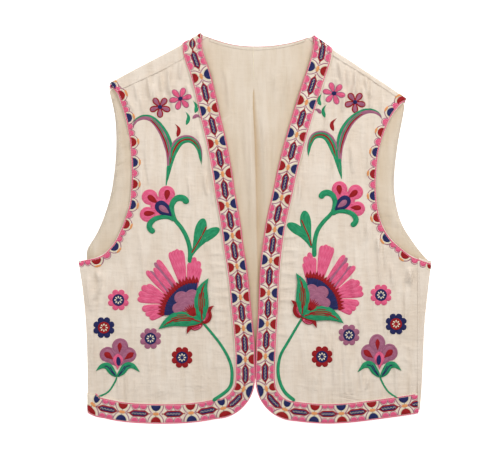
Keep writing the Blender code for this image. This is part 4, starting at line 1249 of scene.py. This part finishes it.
def cotton_gauze(name, base, light, painted_shade_tone, crinkle=1.0, painted_shade_colour=None):
    """Crinkled double cotton gauze, plain woven: matt, a little see-through threads, soft uneven creping.

    Real yarns are about 0.45 mm apart. They are drawn 0.95 mm apart so that the weave shows.
    """
    material, tree = new_material(name)
    place = add(tree, "TexCoord").outputs["Object"]
    in_mm = add(tree, "Mapping", {"Vector": place, "Scale": (1000, 1000, 1000)}).outputs[0]
    warp, weft = (
        add(
            tree, "TexWave",
            {"Vector": in_mm, "Scale": wave_scale(0.95), "Distortion": 0.8, "Detail": 1.0, "Detail Scale": 0.6},
            bands_direction=way,
        ).outputs["Fac"]
        for way in ("X", "Y")
    )
    weave = add(tree, "Math", {0: warp, 1: weft}, operation="MULTIPLY").outputs[0]
    # Thick places in single yarns: 1.5 mm wide and 30 mm long, both ways of the cloth
    long_ways = add(tree, "Mapping", {"Vector": in_mm, "Scale": (0.6, 0.033, 0.6)}).outputs[0]
    slub_warp = add(tree, "TexNoise", {"Vector": long_ways, "Scale": 1.0, "Detail": 2.0}).outputs["Fac"]
    cross_ways = add(tree, "Mapping", {"Vector": in_mm, "Scale": (0.033, 0.6, 0.6)}).outputs[0]
    slub_weft = add(tree, "TexNoise", {"Vector": cross_ways, "Scale": 1.0, "Detail": 2.0}).outputs["Fac"]
    slubs = add(tree, "Math", {0: slub_warp, 1: slub_weft}, operation="MULTIPLY").outputs[0]
    slub_share = add(tree, "MapRange", {0: slubs, 1: 0.17, 2: 0.36}).outputs[0]
    # Creping: soft lengthwise ripples some 9 mm apart and 50 mm long
    ripples = add(tree, "Mapping", {"Vector": in_mm, "Scale": (0.11, 0.02, 0.11)}).outputs[0]
    crepe = add(tree, "TexNoise", {"Vector": ripples, "Scale": 1.0, "Detail": 2.0, "Roughness": 0.45}).outputs["Fac"]
    pucker_map = add(tree, "Mapping", {"Vector": in_mm, "Scale": (0.05, 0.16, 0.1)}).outputs[0]
    pucker = add(tree, "TexNoise", {"Vector": pucker_map, "Scale": 1.0, "Detail": 3.0}).outputs["Fac"]
    clouds = add(tree, "TexNoise", {"Vector": in_mm, "Scale": 0.018, "Detail": 2.0}).outputs["Fac"]
    cloud_share = add(tree, "MapRange", {0: clouds, 1: 0.35, 2: 0.68}).outputs[0]
    colour = mixed(tree, cloud_share, linear(base), linear(light))
    # Painted shade: the creping's troughs and the weave's gaps, where the bumps sink, are darkened towards the shade
    # tone; the slubs are lighter
    for reading, tint in (
        ({0: crepe, 1: 0.32, 2: 0.62, 3: 0.45, 4: 0.0}, painted_shade_tone),
        ({0: slub_share, 3: 0.0, 4: 0.35}, light),
        ({0: weave, 3: 0.2, 4: 0.0}, painted_shade_tone),
    ):
        colour = mixed(tree, add(tree, "MapRange", reading).outputs[0], colour, linear(tint))
    # Painted shade on the back: near the fronts' edges, and in the fold of the centre back pleat
    if painted_shade_colour:
        depth, past_fold, painted_fold_shade = (
            add(tree, "Attribute", attribute_name=name, attribute_type="GEOMETRY").outputs["Fac"]
            for name in ("painted_shade_near_fronts", "past_fold", "painted_fold_shade")
        )
        # Painted shade in the pleat's fold, darkest at its left fold and fading towards its right fold
        enter = add(tree, "MapRange", {0: past_fold, 1: -0.03, 2: 0.08, 3: 0.0, 4: 1.0}).outputs[0]
        leave = add(tree, "MapRange", {0: past_fold, 1: 0.0, 2: 1.0, 3: 1.0, 4: 0.0}).outputs[0]
        inside = add(tree, "Math", {0: enter, 1: leave}, operation="MULTIPLY").outputs[0]
        fold = add(tree, "Math", {0: inside, 1: painted_fold_shade}, operation="MULTIPLY").outputs[0]
        colour = mixed(tree, depth, colour, linear(painted_shade_colour))
        colour = mixed(tree, fold, colour, linear(PLEAT_PAINTED_SHADE))
    fine = add(tree, "Bump", {"Strength": 0.35, "Distance": 0.00012, "Height": weave}).outputs[0]
    slub_bump = add(tree, "Bump", {"Strength": 0.25, "Distance": 0.0003, "Height": slubs, "Normal": fine}).outputs[0]
    crepe_bump = add(
        tree, "Bump", {"Strength": crinkle, "Distance": 0.0026, "Height": crepe, "Normal": slub_bump},
    ).outputs[0]
    all_bump = add(
        tree, "Bump", {"Strength": crinkle * 0.7, "Distance": 0.0018, "Height": pucker, "Normal": crepe_bump},
    ).outputs[0]
    cloth = add(
        tree, "BsdfPrincipled", {"Base Color": colour, "Roughness": 0.92, "Normal": all_bump, "Sheen Weight": 0.15},
    )
    cloth.inputs["Sheen Roughness"].default_value = 0.5
    cloth.inputs["Specular IOR Level"].default_value = 0.3
    add(tree, "OutputMaterial", {"Surface": cloth.outputs[0]})
    return material


def rayon_thread(name, base, dark, light):
    """Rayon embroidery floss laid in satin stitch: silky along its threads, streaked at random, with painted shade in
    the partings between its rows.

    Real threads are about 0.4 mm wide. They are drawn 1.2 mm wide so that the rows show.
    """
    material, tree = new_material(name)
    run = add(tree, "UVMap", uv_map="thread").outputs[0]
    streak_map = add(tree, "Mapping", {"Vector": run, "Scale": (0.11, 0.62, 1)}).outputs[0]
    streaks = add(
        tree, "TexNoise", {"Vector": streak_map, "Scale": 1.0, "Detail": 3.0, "Roughness": 0.6},
    ).outputs["Fac"]
    rows = add(
        tree, "TexWave",
        {"Vector": run, "Scale": wave_scale(1.2), "Distortion": 0.6, "Detail": 1.0, "Detail Scale": 0.5},
        bands_direction="Y",
    ).outputs["Fac"]
    dark_share = add(tree, "MapRange", {0: streaks, 1: 0.52, 2: 0.3, 3: 0.0, 4: 0.8}).outputs[0]
    light_share = add(tree, "MapRange", {0: streaks, 1: 0.52, 2: 0.72, 3: 0.0, 4: 0.7}).outputs[0]
    colour = mixed(tree, dark_share, linear(base), linear(dark))
    colour = mixed(tree, light_share, colour, linear(light))
    # Painted shade in the partings between the rows of thread, where the row bumps sink
    painted_row_shade = add(tree, "MapRange", {0: rows, 1: 0.0, 2: 0.5, 3: 0.55, 4: 0.0}).outputs[0]
    colour = mixed(tree, painted_row_shade, colour, linear(dark))
    bump = add(tree, "Bump", {"Strength": 0.6, "Distance": 0.0004, "Height": rows}).outputs[0]
    bump = add(tree, "Bump", {"Strength": 0.4, "Distance": 0.0004, "Height": streaks, "Normal": bump}).outputs[0]
    thread = add(tree, "BsdfPrincipled", {"Base Color": colour, "Roughness": 0.6, "Normal": bump, "Sheen Weight": 0.03})
    thread.inputs["Specular IOR Level"].default_value = 0.22
    add(tree, "OutputMaterial", {"Surface": thread.outputs[0]})
    return material


# ---- The garment -------------------------------------------------------------------------

# Each cloth's third colour is painted shade, laid into the troughs of its creping and the gaps of its weave
gauze = cotton_gauze("cotton_gauze_front", "#E8D9C9", "#F0E4D6", "#D8C5AF", crinkle=1.1)
# The inside of the back is the same cloth with its tones darkened as painted shade; its last colour is the painted
# shade near the fronts' edges
gauze_inside = cotton_gauze("cotton_gauze_inside_painted_shade", "#E2D3C1", "#E9DCCC", "#D3C1A8", crinkle=0.6, painted_shade_colour="#C6A97F")
border_cotton = cotton_gauze("cotton_border_ground", "#EBDDCB", "#F2E7D8", "#D6C2A8", crinkle=0.15)
# The neck facing's tones match the inside's painted shade
neck_cotton = cotton_gauze("cotton_neck_facing", "#E1D3C2", "#E9DDCE", "#D3C2AB", crinkle=0.2)

# Each thread's dark tone serves both its random streaks and the painted shade in the partings between its rows
threads = {
    "pink": rayon_thread("rayon_thread_pink", "#EF678F", "#D2446F", "#F798B5"),
    "red": rayon_thread("rayon_thread_dark_red", "#A50F18", "#7E0A12", "#B91C25"),
    "navy": rayon_thread("rayon_thread_navy", "#21265F", "#131643", "#333879"),
    "mauve": rayon_thread("rayon_thread_mauve", "#B06B86", "#8D4F70", "#C3869E"),
    "green": rayon_thread("rayon_thread_green", "#249A68", "#12704A", "#45B585"),
    "peach": rayon_thread("rayon_thread_peach", "#F0A468", "#D07F45", "#F9C08E"),
    "cream": rayon_thread("rayon_thread_cream", "#F4E9D2", "#D9C8A4", "#FFFAEC"),
}

CLOTHS = table(
    "node material slot levels creases top_only",
    [
        ("back", gauze_inside, "gauze_inside", 3, "back", True),
        ("front_left", gauze, "gauze", 3, "front_left", False),
        ("front_right", gauze, "gauze", 3, "front_right", False),
        ("border_left", border_cotton, "embroidered_border", 2, "front_left", False),
        ("border_right", border_cotton, "embroidered_border", 2, "front_right", False),
        ("shoulder_left", gauze, "gauze_inside", 2, "", False),
        ("shoulder_right", gauze, "gauze_inside", 2, "", False),
        ("neck_border", border_cotton, "embroidered_border", 2, "", False),
        ("neck_facing", neck_cotton, "neck_edge", 2, "", False),
    ],
)

# The cut of each piece before it was sewn, what it rests on, and the stitching on it
CUTS = table(
    "node width length area rests_on sewn_on",
    [
        ("back", 0.512, 0.552, 0.2266, [], "seams"),
        ("front_left", 0.27, 0.50, 0.105, ["cloth_back"], "left"),
        ("front_right", 0.25, 0.50, 0.1003, ["cloth_back"], "right"),
        ("border_left", 0.03, 0.755, 0.0226, ["cloth_front_left"], ""),
        ("border_right", 0.03, 0.755, 0.0226, ["cloth_front_right"], ""),
        ("shoulder_left", 0.165, 0.026, 0.0040, ["cloth_back"], ""),
        ("shoulder_right", 0.165, 0.014, 0.0022, ["cloth_back"], ""),
        ("neck_border", 0.03, 0.235, 0.0069, [], "neck"),
        ("neck_facing", 0.010, 0.143, 0.00065, ["cloth_back"], ""),
    ],
)

cloths = {}
for row in CLOTHS:
    piece = sewn_cloth(row.node, row.material, CREASES.get(row.creases, ()), row.levels, row.top_only)
    cloths[row.node] = piece


def surface_of(pieces):
    """The pieces' faces as one surface to lay stitches on."""
    points, faces = [], []
    for piece in pieces:
        first = len(points)
        points += [vertex.co.copy() for vertex in piece.data.vertices]
        faces += [tuple(first + i for i in face.vertices) for face in piece.data.polygons]
    return BVHTree.FromPolygons(points, faces)


seams = Stitching("seams", surface_of([cloths[row.node] for row in CLOTHS if row.node != "neck_border"]))
sew_seams(seams)
seams.make(
    {**threads, "lap": gauze, "facing_lap": neck_cotton}
)
for side in ("left", "right"):
    worn = [cloths[name] for name in (f"front_{side}", f"border_{side}", f"shoulder_{side}", "neck_border")]
    stitching = Stitching(side, surface_of(worn))
    sew_border(stitching, side)
    sew_armhole(stitching, side)
    sew_flowers(stitching, side)
    stitching.make(threads)

under_neck = Stitching("neck", surface_of([cloths["neck_border"]]), under=True)
sew_neck(under_neck)
under_neck.make(threads)


# ---- Floor, light and camera -------------------------------------------------------------


def studio():
    """White floor, two soft boxes and a camera straight above, as for a product photograph."""
    deselect()
    bpy.ops.mesh.primitive_grid_add(x_subdivisions=4, y_subdivisions=4, size=6, location=(0, 0, -0.0004))
    floor = bpy.context.object
    floor.name = "floor"
    paper, tree = new_material("white_paper_sweep")
    sheet = add(tree, "BsdfPrincipled", {"Base Color": linear("#FFFFFF"), "Roughness": 0.9})
    sheet.inputs["Emission Color"].default_value = (1, 1, 1, 1)
    sheet.inputs["Emission Strength"].default_value = 0.55
    add(tree, "OutputMaterial", {"Surface": sheet.outputs[0]})
    floor.data.materials.append(paper)

    world = bpy.data.worlds.new("soft_room")
    world.use_nodes = True
    world.node_tree.nodes["Background"].inputs[0].default_value = (1, 1, 1, 1)
    world.node_tree.nodes["Background"].inputs[1].default_value = 0.43
    bpy.context.scene.world = world

    for name, place, size, power in (
        ("overhead_softbox", (1.1, 1.05, 1.3), 0.9, 19.5),
        ("fill_softbox", (-1.2, 0.6, 1.6), 1.6, 16),
    ):
        light = bpy.data.lights.new(name, "AREA")
        light.size, light.energy = size, power
        lamp = bpy.data.objects.new(name, light)
        bpy.context.scene.collection.objects.link(lamp)
        lamp.location = place
        lamp.rotation_euler = (Vector((0, 0, 0)) - Vector(place)).to_track_quat("-Z", "Y").to_euler()

    lens = bpy.data.cameras.new("straight_down")
    lens.lens, lens.sensor_width = 100, 36
    lens.dof.use_dof = False
    camera = bpy.data.objects.new("straight_down", lens)
    bpy.context.scene.collection.objects.link(camera)
    width = PHOTO_WIDTH * PHOTO_MM * MM
    x, y = on_garment(PHOTO_WIDTH / 2, PHOTO_HEIGHT / 2)
    camera.location = (x * MM, y * MM, width * lens.lens / lens.sensor_width + 0.004)
    bpy.context.scene.camera = camera
    bpy.context.scene.view_settings.view_transform = "Standard"


studio()
